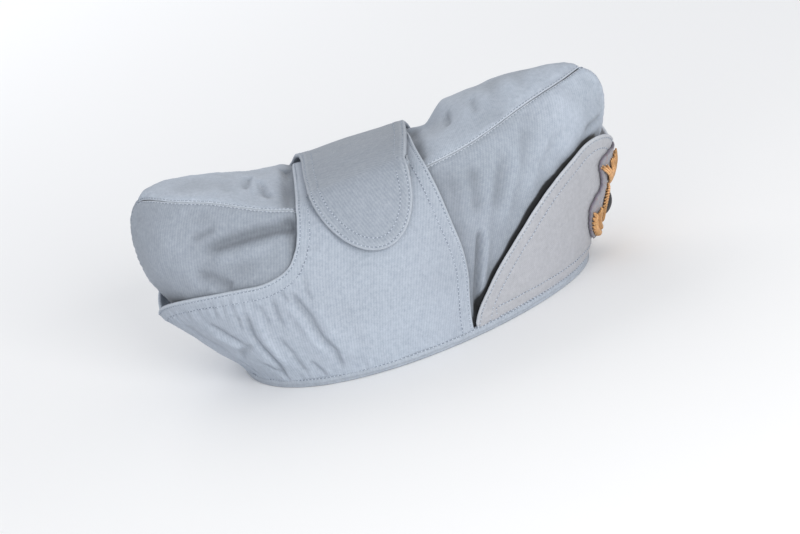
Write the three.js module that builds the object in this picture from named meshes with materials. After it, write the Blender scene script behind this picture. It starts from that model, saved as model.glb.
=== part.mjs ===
// A soft field cap with ear flaps folded up over the crown and a peak folded up in front.
// Millimetres. +X is the front, +Y the wearer's left, +Z up. The rim rests on z = 0.
import * as THREE from 'three';

// Driving dimensions
const RIM_HALF_LENGTH = 106.5;
const RIM_HALF_WIDTH = 78.3;
const RIM_EGG = 0.165;
const BAND_HEIGHT = 5.2;
const GAP = 0.3;
const CROWN_WALL = 1.5;
const FLAP_WALL = 1.8;
const TONGUE_WALL = 2.4;
const PEAK_WALL = 1.9;
const SEAM_HALF_LENGTH = 133;
const SEAM_HALF_WIDTH = 56;
const SEAM_POWER = 2.24;
const SNAP_RADIUS = 5;
const SNAP_THICKNESS = 1.2;
const SNAP_PLACE = { angle: 95.5, height: 0.78 };

// Where the walls stand on the band: how far the outer faces lie inside the rim line
const FLAP_INSET = 0.3;
const FACET_SLACK = 0.15;
const CROWN_INSET = FLAP_INSET + FLAP_WALL + GAP + FACET_SLACK;
const WALL_FOOT = BAND_HEIGHT + GAP;

const DEG = Math.PI / 180;
const UP = new THREE.Vector3(0, 0, 1);

// One row for each section of the crown, by its angle round the head from the front.
// seam: height of the long top seam. deck: rise of the top panel above it.
// belly: how far the side panel swells out. rise: how high on the panel the swelling sits.
// width: how wide the top panel is beside a plain boat outline.
const CROWN_SECTIONS = [
  { angle: 0, seam: 110, deck: 0, belly: 14.8, rise: 2.5, width: 1 },
  { angle: 22.5, seam: 109.3, deck: 5, belly: 12.3, rise: 2.4, width: 1 },
  { angle: 45, seam: 107.9, deck: 11.5, belly: 10, rise: 2.3, width: 1 },
  { angle: 67.5, seam: 100.9, deck: 13, belly: 9.5, rise: 1.9, width: 1 },
  { angle: 90, seam: 98.8, deck: 9, belly: 11, rise: 1.1, width: 1 },
  { angle: 112.5, seam: 98, deck: 6, belly: 13, rise: 1, width: 0.93 },
  { angle: 135, seam: 112, deck: 4, belly: 17, rise: 1, width: 0.97 },
  { angle: 157.5, seam: 118.8, deck: 3.5, belly: 19.5, rise: 1.1, width: 1.5 },
  { angle: 180, seam: 115, deck: 0, belly: 19.7, rise: 1.15, width: 1.4 },
];
const BELLY_TOP = 0.75;
// The strap over the top pulls the crown down between these two places.
const STRAP_REAR = { x: -42, dip: 3 };
const STRAP_FRONT = { x: 39, near: 0.4, far: 11 };
const STRAP_SKEW = 0.055;
const DIP_EDGE = { rear: 10, near: 40, far: 17 };
// Between these two places across, the dip's depth and edge change from near (right) to far.
const DIP_SIDES = { near: -50, far: 20 };

// Upper edge of a folded-up flap, from the back of the head to its tab.
const FLAP_TOP_EDGE = [
  { angle: 112, height: 0.867 },
  { angle: 113.1, height: 0.808 },
  { angle: 114.5, height: 0.761 },
  { angle: 116.3, height: 0.711 },
  { angle: 118.5, height: 0.672 },
  { angle: 121.5, height: 0.637 },
  { angle: 125.8, height: 0.603 },
  { angle: 131, height: 0.584 },
  { angle: 138, height: 0.567 },
  { angle: 148, height: 0.546 },
  { angle: 156, height: 0.524 },
  { angle: 166, height: 0.492 },
  { angle: 180, height: 0.43 },
];
// Front edges of the flaps, and the rear edges of the right flap's tab and the left flap's tongue.
// Height 1 is the first seam, 2 the middle of the top and 3 the far seam.
const FLAP_FRONT_EDGE = [
  { height: 0, angle: 75.2 },
  { height: 0.17, angle: 74.8 },
  { height: 0.35, angle: 74 },
  { height: 0.51, angle: 74.5 },
  { height: 0.64, angle: 75.5 },
  { height: 0.82, angle: 76.5 },
  { height: 1.15, angle: 77.5 },
  { height: 1.9, angle: 78 },
  { height: 2.35, angle: 78.5 },
  { height: 2.7, angle: 79.7 },
  { height: 3.1, angle: 82 },
];
const TAB_REAR_EDGE = [
  { height: 0.867, angle: 112 },
  { height: 0.932, angle: 111.2 },
  { height: 1.041, angle: 110.7 },
  { height: 1.5, angle: 109.7 },
  { height: 2.6, angle: 109 },
];
const TONGUE_REAR_EDGE = [
  { height: 0.867, angle: 112 },
  { height: 0.95, angle: 109.6 },
  { height: 1.15, angle: 107.4 },
  { height: 1.5, angle: 106.5 },
  { height: 2.5, angle: 106.3 },
  { height: 3.1, angle: 106 },
];
const TAB_END = 2.5;
const TONGUE_END = { height: 2.93, slant: 0.05, depth: 0.4 };

// Upper edge of the folded-up peak: its slant height at each angle from the front.
const PEAK_EDGE = [
  { angle: 0, slant: 67 },
  { angle: 4, slant: 67.6 },
  { angle: 8, slant: 70.4 },
  { angle: 12, slant: 73.4 },
  { angle: 17, slant: 74.5 },
  { angle: 25, slant: 71 },
  { angle: 31, slant: 67 },
  { angle: 37, slant: 63.3 },
  { angle: 44, slant: 57.7 },
  { angle: 50, slant: 50.8 },
  { angle: 56, slant: 42 },
  { angle: 63, slant: 30.4 },
  { angle: 68, slant: 20.4 },
  { angle: 72, slant: 10.4 },
  { angle: 74.2, slant: 3 },
];
// How far the peak leans, which is mostly forward and a little outward.
const PEAK_LEAN = [
  { angle: 0, lean: 30 },
  { angle: 10, lean: 27.5 },
  { angle: 22, lean: 20 },
  { angle: 38, lean: 15.5 },
  { angle: 60, lean: 12.5 },
  { angle: 76, lean: 9 },
];
const LEAN_FORWARD = 0.7;
// The front of the peak swells forward low down: reach scales it, height is where it ends.
const PEAK_BULGE = { reach: 7.5, height: 75, full: 25, none: 65 };

// The badge: half-width of its cloth backing and of its flame at each height up the peak.
const BACKING_LEVELS = [
  { height: 7, half: 7 },
  { height: 10, half: 17 },
  { height: 14, half: 23 },
  { height: 20, half: 28 },
  { height: 27, half: 30.5 },
  { height: 33, half: 31 },
  { height: 37, half: 27 },
  { height: 41, half: 22.5 },
  { height: 45, half: 22.5 },
  { height: 50, half: 26 },
  { height: 55, half: 29 },
  { height: 60, half: 29 },
  { height: 64, half: 21 },
];
const FLAME_LEVELS = [
  { height: 42, half: 6 },
  { height: 46, half: 14 },
  { height: 51, half: 21 },
  { height: 56, half: 23 },
  { height: 61, half: 14 },
];
const BADGE_CENTRE = 27;
const BADGE_CLOTH = 1.2;
const BADGE_RELIEF = 1.6;
const RING_OUTER = 12;
const RING_INNER = 8.4;
const BOSS_RADIUS = 8;
const BOSS_DOME = 2.4;
const BRANCH_INNER = 12.4;
const BRANCH_OUTER = 18;
// A branch's ring is drawn out across the badge by this factor.
const BRANCH_SPREAD = 1.5;

// How many facets a wall has along and across
const CROWN_FACETS = { along: 44, up: 9 };
const TOP_FACETS = { along: 30, across: 6 };
const WING_FACETS = { along: 20, up: 8 };
const TAB_FACETS = { across: 8, upper: 16, tongue: 24 };
const PEAK_FACETS = { along: 34, up: 6 };
const BACKING_FACETS = { across: 10, up: 16 };
const FLAME_FACETS = { across: 8, up: 9 };
// The peak's facets grow closer together towards its foot, where it bends most.
const FOOT_CROWDING = 1.35;
const BAND_STEPS = 54;
// The facets of a side panel grow closer together towards the seam.
const SEAM_CROWDING = 1.35;
const TOP_PANEL_ENDS = 11;
// A folded-up sheet lies on the mean of the crown over this much height on either side.
const SHEET_SPREAD = [-0.08, -0.04, 0, 0.04, 0.08];
const SHEET_REACH = 0.06;
// The rear tip of the flaps: how far it leans out, within how many degrees and how steeply
const PROW = { reach: 7, spread: 24, power: 1.3 };
const FOLD_BULGE = { loose: 0.8, bend: 1.2 };
// The tongue stands off a little more where it bends round the near seam.
const NEAR_BEND = { rise: 1.2, height: 2.95, spread: 0.13 };
const TAB_CLEARANCE = 3;
const SNAP_CLEARANCE = 2.9;

function smooth(from, to, value) {
  const t = Math.min(Math.max((value - from) / (to - from), 0), 1);
  return t * t * (3 - 2 * t);
}

// A smooth curve through the rows of a table: cubic pieces whose slope at each row
// is the mean of its two neighbours' slopes, weighted by the other one's length.
function along(rows, key, column, value) {
  const last = rows.length - 1;
  let i = 0;
  while (i < last - 1 && value > rows[i + 1][key]) i += 1;
  const step = (k) => rows[k + 1][key] - rows[k][key];
  const slope = (k) => (rows[k + 1][column] - rows[k][column]) / step(k);
  const tangent = (k) => {
    if (k === 0) return slope(0);
    if (k === last) return slope(last - 1);
    return (slope(k - 1) * step(k) + slope(k) * step(k - 1)) / (step(k) + step(k - 1));
  };
  const width = step(i);
  const t = (value - rows[i][key]) / width;
  const t2 = t * t;
  const t3 = t2 * t;
  return (2 * t3 - 3 * t2 + 1) * rows[i][column] + (t3 - 2 * t2 + t) * width * tangent(i)
    + (3 * t2 - 2 * t3) * rows[i + 1][column] + (t3 - t2) * width * tangent(i + 1);
}

// The rim line is an egg: an ellipse that is narrower at the front. Degrees from the front,
// growing towards the wearer's right ear. The second value is its outward direction.
function rimFrame(angle) {
  const c = Math.cos(angle * DEG);
  const s = Math.sin(angle * DEG);
  const dx = -RIM_HALF_LENGTH * s;
  const dy = -RIM_HALF_WIDTH * (c * (1 - RIM_EGG * c) + RIM_EGG * s * s);
  const point = new THREE.Vector3(RIM_HALF_LENGTH * c, -RIM_HALF_WIDTH * s * (1 - RIM_EGG * c), 0);
  return { point, out: new THREE.Vector3(-dy, dx, 0).normalize() };
}

// Outer face of the crown. height 0 is the rim on the right, 1 the right seam, 2 the middle
// of the top panel, 3 the left seam and 4 the rim on the left. flip is -1 where the place is
// worked out for a piece that is mirrored afterwards.
function crownPoint(angle, height, flip = 1) {
  const left = height > 2;
  const h = left ? 4 - height : height;
  const { point: foot, out } = rimFrame(angle);
  foot.addScaledVector(out, -CROWN_INSET).setZ(WALL_FOOT);
  const row = (column) => along(CROWN_SECTIONS, 'angle', column, angle);
  const c = Math.cos(angle * DEG);
  const half = SEAM_HALF_WIDTH * row('width') * (1 - Math.abs(c) ** SEAM_POWER);
  const seam = new THREE.Vector3(SEAM_HALF_LENGTH * c, -half, row('seam'));
  let p;
  if (h <= 1) {
    const rise = row('rise');
    const fullest = rise / (rise + BELLY_TOP);
    const most = fullest ** rise * (1 - fullest) ** BELLY_TOP;
    const swell = row('belly') * h ** rise * (1 - h) ** BELLY_TOP / most;
    p = foot.lerp(seam, h).addScaledVector(out, swell);
  } else {
    const across = 2 - h;
    p = new THREE.Vector3(seam.x, -half * across, seam.z + row('deck') * (1 - across * across));
  }
  if (left) p.y = -p.y;
  const share = Math.min(Math.max((p.x - STRAP_REAR.x) / (STRAP_FRONT.x - STRAP_REAR.x), 0), 1);
  const far = smooth(DIP_SIDES.near, DIP_SIDES.far, flip * p.y);
  const frontDip = STRAP_FRONT.near + (STRAP_FRONT.far - STRAP_FRONT.near) * far;
  const dip = STRAP_REAR.dip + (frontDip - STRAP_REAR.dip) * share;
  const front = STRAP_FRONT.x + STRAP_SKEW * (flip * p.y - SEAM_HALF_WIDTH);
  const behind = smooth(STRAP_REAR.x - DIP_EDGE.rear, STRAP_REAR.x, p.x);
  const edge = DIP_EDGE.near + (DIP_EDGE.far - DIP_EDGE.near) * far;
  const ahead = smooth(front, front + edge, p.x);
  p.z -= dip * behind * (1 - ahead) * smooth(0.55, 1, h);
  return p;
}

// Outward direction of the crown, level at the rim and upright at the seams.
function crownOut(angle, height, reach = 0.03, flip = 1) {
  const low = Math.max(height - reach, 0);
  const a0 = Math.max(angle - 2, 0);
  const a1 = Math.min(angle + 2, 180);
  const at = (turn, up) => crownPoint(turn, up, flip);
  const round = at(a1, height).sub(at(a0, height));
  const upward = at(angle, height + reach).sub(at(angle, low));
  const out = upward.cross(round).normalize();
  const level = 1 - smooth(0, 0.12, height);
  const { out: rimOut } = rimFrame(angle);
  out.lerp(rimOut, level).normalize();
  const ends = Math.min(angle, 180 - angle);
  out.y *= smooth(0, 6, ends + 0.001);
  return out.normalize();
}

// A closed body between an outer and an inner skin, both sampled on the same grid blocks.
// Blocks that share an edge are welded there, and the open edges get a side wall.
function wall(blocks) {
  const positions = { outer: [], inner: [] };
  const seen = new Map();
  const quads = [];
  const vertex = (skins) => {
    const key = skins.outer.toArray().map((v) => Math.round(v * 1000)).join(' ');
    if (!seen.has(key)) {
      seen.set(key, positions.outer.length);
      positions.outer.push(skins.outer);
      positions.inner.push(skins.inner);
    }
    return seen.get(key);
  };
  for (const { nu, nv, at } of blocks) {
    const grid = [];
    for (let i = 0; i <= nu; i += 1) {
      grid.push([]);
      for (let j = 0; j <= nv; j += 1) grid[i].push(vertex(at(i / nu, j / nv)));
    }
    for (let i = 0; i < nu; i += 1) {
      for (let j = 0; j < nv; j += 1) {
        quads.push([grid[i][j], grid[i + 1][j], grid[i + 1][j + 1], grid[i][j + 1]]);
      }
    }
  }
  const count = positions.outer.length;
  const index = [];
  const edges = new Map();
  const face = (a, b, c) => {
    if (a === b || b === c || c === a) return;
    index.push(a, b, c, c + count, b + count, a + count);
    for (const [p, q] of [[a, b], [b, c], [c, a]]) {
      if (edges.has(`${q} ${p}`)) edges.delete(`${q} ${p}`);
      else edges.set(`${p} ${q}`, [p, q]);
    }
  };
  for (const [a, b, c, d] of quads) {
    face(a, b, c);
    face(a, c, d);
  }
  for (const [p, q] of edges.values()) index.push(q, p, p + count, q, p + count, q + count);
  const all = [...positions.outer, ...positions.inner];
  let volume = 0;
  for (let i = 0; i < index.length; i += 3) {
    const [a, b, c] = [all[index[i]], all[index[i + 1]], all[index[i + 2]]];
    volume += a.dot(new THREE.Vector3().crossVectors(b, c));
  }
  if (volume < 0) index.reverse();
  const geometry = new THREE.BufferGeometry();
  geometry.setAttribute('position', new THREE.Float32BufferAttribute(all.flatMap((v) => v.toArray()), 3));
  geometry.setIndex(index);
  geometry.computeVertexNormals();
  return geometry;
}

// The two halves of the cap meet at the middle plane, half a gap from it on each side.
function keepToRight(p) {
  return p.setY(Math.min(p.y, -GAP / 2));
}

function mirrored(blocks) {
  const flip = (skins) => {
    skins.outer.y = -skins.outer.y;
    skins.inner.y = -skins.inner.y;
    return skins;
  };
  return blocks.map(({ nu, nv, at }) => ({ nu, nv, at: (u, v) => flip(at(u, v)) }));
}

function crownSideBlocks(flip = 1) {
  const at = (u, v) => {
    const angle = 180 * u;
    const height = 1 - (1 - v) ** SEAM_CROWDING;
    const outer = crownPoint(angle, height, flip);
    const out = crownOut(angle, height, 0.03, flip).lerp(UP, smooth(0.8, 1, height)).normalize();
    const inner = outer.clone().addScaledVector(out, -CROWN_WALL);
    return { outer: keepToRight(outer), inner: keepToRight(inner) };
  };
  return [{ nu: CROWN_FACETS.along, nv: CROWN_FACETS.up, at }];
}

// The top panel lies just inside the two seams and ends where the boat outline is too narrow.
function crownTopBlocks() {
  const at = (u, v) => {
    const angle = TOP_PANEL_ENDS + (180 - 2 * TOP_PANEL_ENDS) * u;
    const half = -crownPoint(angle, 1).y;
    const inside = 1 - (GAP + FACET_SLACK) / half;
    const outer = crownPoint(angle, 2 + inside * (2 * v - 1));
    return { outer, inner: outer.clone().addScaledVector(UP, -CROWN_WALL) };
  };
  return [{ nu: TOP_FACETS.along, nv: TOP_FACETS.across, at }];
}

// A sheet that lies over the crown: lift is how far its inner face stands off it.
function sheetSkins(angle, height, lift, thickness, flip = 1) {
  const middle = new THREE.Vector3();
  const ease = smooth(0, 0.2, height);
  for (const step of SHEET_SPREAD) {
    middle.add(crownPoint(angle, Math.max(height + step * ease, 0), flip));
  }
  middle.divideScalar(SHEET_SPREAD.length);
  const out = crownOut(angle, height, SHEET_REACH, flip);
  const inner = middle.clone().addScaledVector(out, lift);
  return { outer: inner.clone().addScaledVector(out, thickness), inner };
}

// At the back of the head the flap leaves the crown and ends in a creased, leaning tip.
function wingLift(angle, height) {
  const { height: tip } = FLAP_TOP_EDGE[FLAP_TOP_EDGE.length - 1];
  const prow = Math.exp(-(((180 - angle) / PROW.spread) ** 2)) * Math.min(height / tip, 1) ** PROW.power;
  const bend = smooth(0.7, 0.92, height) * (1 - smooth(1.1, 1.4, height));
  const loose = smooth(0, 0.2, height);
  return GAP + FOLD_BULGE.loose * loose + FOLD_BULGE.bend * bend + PROW.reach * prow;
}

function wingBlock(lift, flip = 1) {
  const at = (u, v) => {
    const first = FLAP_TOP_EDGE[0].angle;
    const angle = first + (180 - first) * u ** 0.9;
    const height = along(FLAP_TOP_EDGE, 'angle', 'height', angle) * v;
    const skins = sheetSkins(angle, height, lift(angle, height), FLAP_WALL, flip);
    return { outer: keepToRight(skins.outer), inner: keepToRight(skins.inner) };
  };
  return { nu: WING_FACETS.along, nv: WING_FACETS.up, at };
}

function lowerTabBlock(lift, flip = 1) {
  const top = FLAP_TOP_EDGE[0].height;
  const at = (u, v) => {
    const height = top * v;
    const front = along(FLAP_FRONT_EDGE, 'height', 'angle', height);
    const angle = front + (FLAP_TOP_EDGE[0].angle - front) * u;
    return sheetSkins(angle, height, lift(angle, height), FLAP_WALL, flip);
  };
  return { nu: TAB_FACETS.across, nv: WING_FACETS.up, at };
}

function flapRightBlocks() {
  const top = FLAP_TOP_EDGE[0].height;
  const lift = wingLift;
  const at = (u, v) => {
    const height = top + (TAB_END - top) * v;
    const front = along(FLAP_FRONT_EDGE, 'height', 'angle', height);
    const rear = along(TAB_REAR_EDGE, 'height', 'angle', height);
    const angle = front + (rear - front) * u;
    return sheetSkins(angle, height, lift(angle, height), FLAP_WALL);
  };
  const tab = { nu: TAB_FACETS.across, nv: TAB_FACETS.upper, at };
  return [wingBlock(lift), lowerTabBlock(lift), tab];
}

// The left flap is worked out on the right and mirrored. Its tab lies over the other tab,
// crosses the top and comes down the far side as a tongue with a round end.
function flapLeftBlocks() {
  const top = FLAP_TOP_EDGE[0].height;
  const overTab = FLAP_WALL + TAB_CLEARANCE;
  const overSnap = FLAP_WALL + SNAP_THICKNESS + SNAP_CLEARANCE;
  const lift = (angle, height) => {
    const own = wingLift(angle, height);
    const raised = own + (overTab - own) * smooth(0.55, 0.95, height);
    const bend = NEAR_BEND.rise * Math.exp(-(((height - NEAR_BEND.height) / NEAR_BEND.spread) ** 2));
    return raised + (overSnap - overTab) * smooth(2.5, 3, height) + bend;
  };
  const at = (u, v) => {
    const side = Math.sin((u - 0.5) * Math.PI);
    const across = (side + 1) / 2;
    const end = TONGUE_END.height - TONGUE_END.slant * side
      + TONGUE_END.depth * Math.cos((u - 0.5) * Math.PI);
    const height = top + (end - top) * v;
    const front = along(FLAP_FRONT_EDGE, 'height', 'angle', height);
    const rear = along(TONGUE_REAR_EDGE, 'height', 'angle', height);
    const straight = front + (rear - front) * across;
    const thickness = FLAP_WALL + (TONGUE_WALL - FLAP_WALL) * smooth(1, 1.6, height);
    return sheetSkins(straight, height, lift(straight, height), thickness, -1);
  };
  const lower = lowerTabBlock(lift, -1);
  const even = lower.at;
  lower.at = (u, v) => even((Math.sin((u - 0.5) * Math.PI) + 1) / 2, v);
  const tongue = { nu: TAB_FACETS.across, nv: TAB_FACETS.tongue, at };
  return mirrored([wingBlock(lift, -1), lower, tongue]);
}

// A plain fastener between the tongue and the flap below it.
function snapBlocks() {
  const { angle, height } = SNAP_PLACE;
  const below = wingLift(angle, height);
  const { outer: foot } = sheetSkins(angle, height, below, FLAP_WALL + 1.5 * GAP);
  const out = crownOut(angle, height, SHEET_REACH);
  const side = new THREE.Vector3(1, 0, 0).projectOnPlane(out).normalize();
  const upward = new THREE.Vector3().crossVectors(out, side);
  const at = (u, v) => {
    const turn = 2 * Math.PI * u;
    const reach = SNAP_RADIUS * v;
    const inner = foot.clone()
      .addScaledVector(side, reach * Math.cos(turn))
      .addScaledVector(upward, reach * Math.sin(turn));
    return { outer: inner.clone().addScaledVector(out, SNAP_THICKNESS), inner };
  };
  return [{ nu: 20, nv: 1, at }];
}

// Outer face of the peak at an angle from the front, positive to the right, and a slant height.
function peakFace(angle, slant) {
  const turn = Math.abs(angle);
  const { point, out } = rimFrame(turn);
  const lean = along(PEAK_LEAN, 'angle', 'lean', turn) * DEG;
  const forward = new THREE.Vector3(LEAN_FORWARD, 0, 0);
  forward.addScaledVector(out, 1 - LEAN_FORWARD).normalize();
  const share = Math.min(Math.max(slant / PEAK_BULGE.height, 0), 1);
  const front = 1 - smooth(PEAK_BULGE.full, PEAK_BULGE.none, turn);
  const bulge = PEAK_BULGE.reach * Math.sqrt(share) * (1 - share) ** 2 * front;
  point.addScaledVector(out, -FLAP_INSET).addScaledVector(forward, slant * Math.sin(lean) + bulge);
  point.z = WALL_FOOT + slant * Math.cos(lean);
  if (angle < 0) point.y = -point.y;
  return point;
}

// The same face moved out by lift, square to it but level along the foot.
function peakPoint(angle, slant, lift) {
  const round = peakFace(angle + 1, slant).sub(peakFace(angle - 1, slant));
  const upward = peakFace(angle, slant + 1).sub(peakFace(angle, slant));
  const out = new THREE.Vector3().crossVectors(upward, round).normalize();
  const { out: rimOut } = rimFrame(Math.abs(angle));
  if (angle < 0) rimOut.y = -rimOut.y;
  out.lerp(rimOut, 1 - smooth(0, 8, slant)).normalize();
  return peakFace(angle, slant).addScaledVector(out, lift);
}

function peakBlocks() {
  const reach = PEAK_EDGE[PEAK_EDGE.length - 1].angle;
  const at = (u, v) => {
    const angle = reach * (2 * u - 1);
    const slant = along(PEAK_EDGE, 'angle', 'slant', Math.abs(angle)) * v ** FOOT_CROWDING;
    return { outer: peakPoint(angle, slant, 0), inner: peakPoint(angle, slant, -PEAK_WALL) };
  };
  return [{ nu: PEAK_FACETS.along, nv: PEAK_FACETS.up, at }];
}

// A place on the badge, by its distance across the peak and its height up it.
function badgePoint(across, height, lift) {
  const arcPerRadian = RIM_HALF_WIDTH * (1 - RIM_EGG) + 0.7 * height;
  return peakPoint(-across / arcPerRadian / DEG, height, lift);
}

// A flat shape whose half-width changes with height.
function levelBlocks(levels, facets, bottom, top) {
  const low = levels[0].height;
  const high = levels[levels.length - 1].height;
  const at = (u, v) => {
    const height = low + (high - low) * v;
    const half = along(levels, 'height', 'half', height);
    const across = half * (2 * u - 1);
    return { outer: badgePoint(across, height, top), inner: badgePoint(across, height, bottom) };
  };
  return [{ nu: facets.across, nv: facets.up, at }];
}

// Part of a ring round the badge's centre, from one angle to another.
function arcBlocks(inside, outside, from, to, steps, bottom, crest, spread = 1) {
  const at = (u, v) => {
    const turn = (from + (to - from) * u) * DEG;
    const width = outside - inside;
    const taper = from + 360 === to ? 1 : 0.35 + 0.65 * Math.sin(Math.PI * Math.min(0.15 + u, 1));
    const radius = inside + width / 2 + (v - 0.5) * width * taper;
    const across = spread * radius * Math.cos(turn);
    const height = BADGE_CENTRE + radius * Math.sin(turn);
    const top = bottom + crest * (0.55 + 0.45 * Math.sin(Math.PI * v));
    return { outer: badgePoint(across, height, top), inner: badgePoint(across, height, bottom) };
  };
  return [{ nu: steps, nv: 4, at }];
}

function bossBlocks(bottom) {
  const at = (u, v) => {
    const turn = 2 * Math.PI * u;
    const across = BOSS_RADIUS * v * Math.cos(turn);
    const height = BADGE_CENTRE + BOSS_RADIUS * v * Math.sin(turn);
    const top = bottom + BOSS_DOME * (0.4 + 0.6 * Math.sqrt(1 - v * v));
    return { outer: badgePoint(across, height, top), inner: badgePoint(across, height, bottom) };
  };
  return [{ nu: 20, nv: 3, at }];
}

// The folded edge round the bottom: a rounded oblong section carried round the rim line,
// flat below where the cloth rests.
function rimBandGeometry() {
  const section = [
    { out: -3.4, up: 0 },
    { out: -0.5, up: 0 },
    { out: 0.3, up: 1 },
    { out: 0.4, up: 2.8 },
    { out: 0.1, up: 4.5 },
    { out: -0.6, up: BAND_HEIGHT },
    { out: -3.5, up: BAND_HEIGHT },
    { out: -4, up: 4.5 },
    { out: -4, up: 0.8 },
  ];
  const positions = [];
  const index = [];
  const sides = section.length;
  for (let i = 0; i < BAND_STEPS; i += 1) {
    const { point, out } = rimFrame((360 * i) / BAND_STEPS);
    for (const { out: reach, up } of section) {
      positions.push(point.x + out.x * reach, point.y + out.y * reach, up);
    }
  }
  for (let i = 0; i < BAND_STEPS; i += 1) {
    const next = (i + 1) % BAND_STEPS;
    for (let j = 0; j < sides; j += 1) {
      const k = (j + 1) % sides;
      const [a, b, c, d] = [i * sides + j, next * sides + j, next * sides + k, i * sides + k];
      index.push(a, c, b, a, d, c);
    }
  }
  const geometry = new THREE.BufferGeometry();
  geometry.setAttribute('position', new THREE.Float32BufferAttribute(positions, 3));
  geometry.setIndex(index);
  geometry.computeVertexNormals();
  return geometry;
}

const twill = new THREE.MeshStandardMaterial({ color: 0x9fa9b8, roughness: 0.95, metalness: 0 });
const peakTwill = new THREE.MeshStandardMaterial({ color: 0xa2a6af, roughness: 0.95, metalness: 0 });
const patchCloth = new THREE.MeshStandardMaterial({ color: 0x767680, roughness: 0.95, metalness: 0 });
const goldThread = new THREE.MeshStandardMaterial({ color: 0xc08a48, roughness: 0.5, metalness: 0.4 });
const blackCloth = new THREE.MeshStandardMaterial({ color: 0x1c1c22, roughness: 0.8, metalness: 0 });
const snapMetal = new THREE.MeshStandardMaterial({ color: 0x8a8c90, roughness: 0.4, metalness: 0.9 });

const cap = new THREE.Group();

function add(name, geometry, material) {
  const mesh = new THREE.Mesh(geometry, material);
  mesh.name = name;
  cap.add(mesh);
}

const patchFoot = GAP + FACET_SLACK + 0.2;
const patchTop = patchFoot + BADGE_CLOTH;
const threadFoot = patchTop + GAP + 0.1;

const backing = levelBlocks(BACKING_LEVELS, BACKING_FACETS, patchFoot, patchTop);
const flame = levelBlocks(FLAME_LEVELS, FLAME_FACETS, threadFoot, threadFoot + BADGE_RELIEF);
const ring = arcBlocks(RING_INNER, RING_OUTER, 0, 360, 28, threadFoot, BADGE_RELIEF);
const branchRight = arcBlocks(BRANCH_INNER, BRANCH_OUTER, 182, 262, 12, threadFoot, BADGE_RELIEF, BRANCH_SPREAD);
const branchLeft = arcBlocks(BRANCH_INNER, BRANCH_OUTER, 358, 278, 12, threadFoot, BADGE_RELIEF, BRANCH_SPREAD);

add('rim_band', rimBandGeometry(), twill);
add('crown_side_right', wall(crownSideBlocks()), twill);
add('crown_side_left', wall(mirrored(crownSideBlocks(-1))), twill);
add('crown_top', wall(crownTopBlocks()), twill);
add('flap_right', wall(flapRightBlocks()), twill);
add('flap_left', wall(flapLeftBlocks()), twill);
add('snap', wall(snapBlocks()), snapMetal);
add('peak', wall(peakBlocks()), peakTwill);
add('badge_backing', wall(backing), patchCloth);
add('badge_flame', wall(flame), goldThread);
add('badge_ring', wall(ring), goldThread);
add('badge_boss', wall(bossBlocks(threadFoot)), blackCloth);
add('badge_branch_right', wall(branchRight), goldThread);
add('badge_branch_left', wall(branchLeft), goldThread);

export default cap;
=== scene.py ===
"""A soft field cap: ear flaps folded up over the crown, a peak folded up in front, and a badge.

Shapes are worked out in millimetres and put into the meshes in metres. +X is the front,
+Y the wearer's left and +Z up, and the rim rests on z = 0. An angle is counted in degrees
round the head from the front, and grows towards the wearer's right ear. A height on the crown
is 0 at the rim on the right, 1 at the right seam, 2 in the middle of the top panel, 3 at the
left seam and 4 at the rim on the left.
"""

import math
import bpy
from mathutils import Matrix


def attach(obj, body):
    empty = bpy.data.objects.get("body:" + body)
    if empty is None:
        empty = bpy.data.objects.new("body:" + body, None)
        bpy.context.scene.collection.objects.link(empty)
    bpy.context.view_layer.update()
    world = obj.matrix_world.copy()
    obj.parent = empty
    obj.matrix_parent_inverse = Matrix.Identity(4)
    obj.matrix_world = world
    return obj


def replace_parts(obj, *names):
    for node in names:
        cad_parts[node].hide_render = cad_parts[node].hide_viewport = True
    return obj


bl_info = {
    "name": "Field cap",
    "version": (1, 0, 0),
    "blender": (4, 5, 0),
    "location": "View3D > Sidebar > Cap",
    "description": "Makes a cloth field cap with folded-up flaps, a peak and an embroidered badge",
    "category": "Object",
}

import bpy
import numpy as np
from mathutils import Matrix, Vector

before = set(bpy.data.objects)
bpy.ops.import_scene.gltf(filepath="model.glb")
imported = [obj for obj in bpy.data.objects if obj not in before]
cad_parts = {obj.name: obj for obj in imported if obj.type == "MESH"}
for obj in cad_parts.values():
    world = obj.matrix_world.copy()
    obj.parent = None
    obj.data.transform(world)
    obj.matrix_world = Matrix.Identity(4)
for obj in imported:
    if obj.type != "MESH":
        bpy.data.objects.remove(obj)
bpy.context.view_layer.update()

MM = 0.001
BODY = "root"

# Driving dimensions
RIM_HALF_LENGTH = 106.5
RIM_HALF_WIDTH = 78.3
RIM_EGG = 0.165
BAND_HEIGHT = 5.2
GAP = 0.3
CROWN_WALL = 1.5
FLAP_WALL = 1.8
TONGUE_WALL = 3
PEAK_WALL = 1.9
SEAM_HALF_LENGTH = 133
SEAM_HALF_WIDTH = 56
SEAM_POWER = 2.24
FLAP_INSET = 0.3
FACET_SLACK = 0.15
CROWN_INSET = FLAP_INSET + FLAP_WALL + GAP + FACET_SLACK
WALL_FOOT = BAND_HEIGHT + GAP
BELLY_TOP = 0.75

# The strap over the top pulls the crown down between its rear and its front edge. x: where the
# edge lies. dip, near, far: how deep it pulls, near the wearer's right and on the far left, as
# DIP_SIDES tells them apart. edge, near_edge, far_edge: the length over which the dip ends.
STRAP_REAR = {"x": -42, "dip": 3, "edge": 10}
STRAP_FRONT = {"x": 39, "near": 0.4, "far": 11, "near_edge": 40, "far_edge": 17}
DIP_SIDES = {"near": -50, "far": 20}
STRAP_SKEW = 0.055
# A flap lies on the mean of the crown at these steps of height
SHEET_SPREAD = (-0.08, -0.04, 0, 0.04, 0.08)
SHEET_REACH = 0.06

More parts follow.
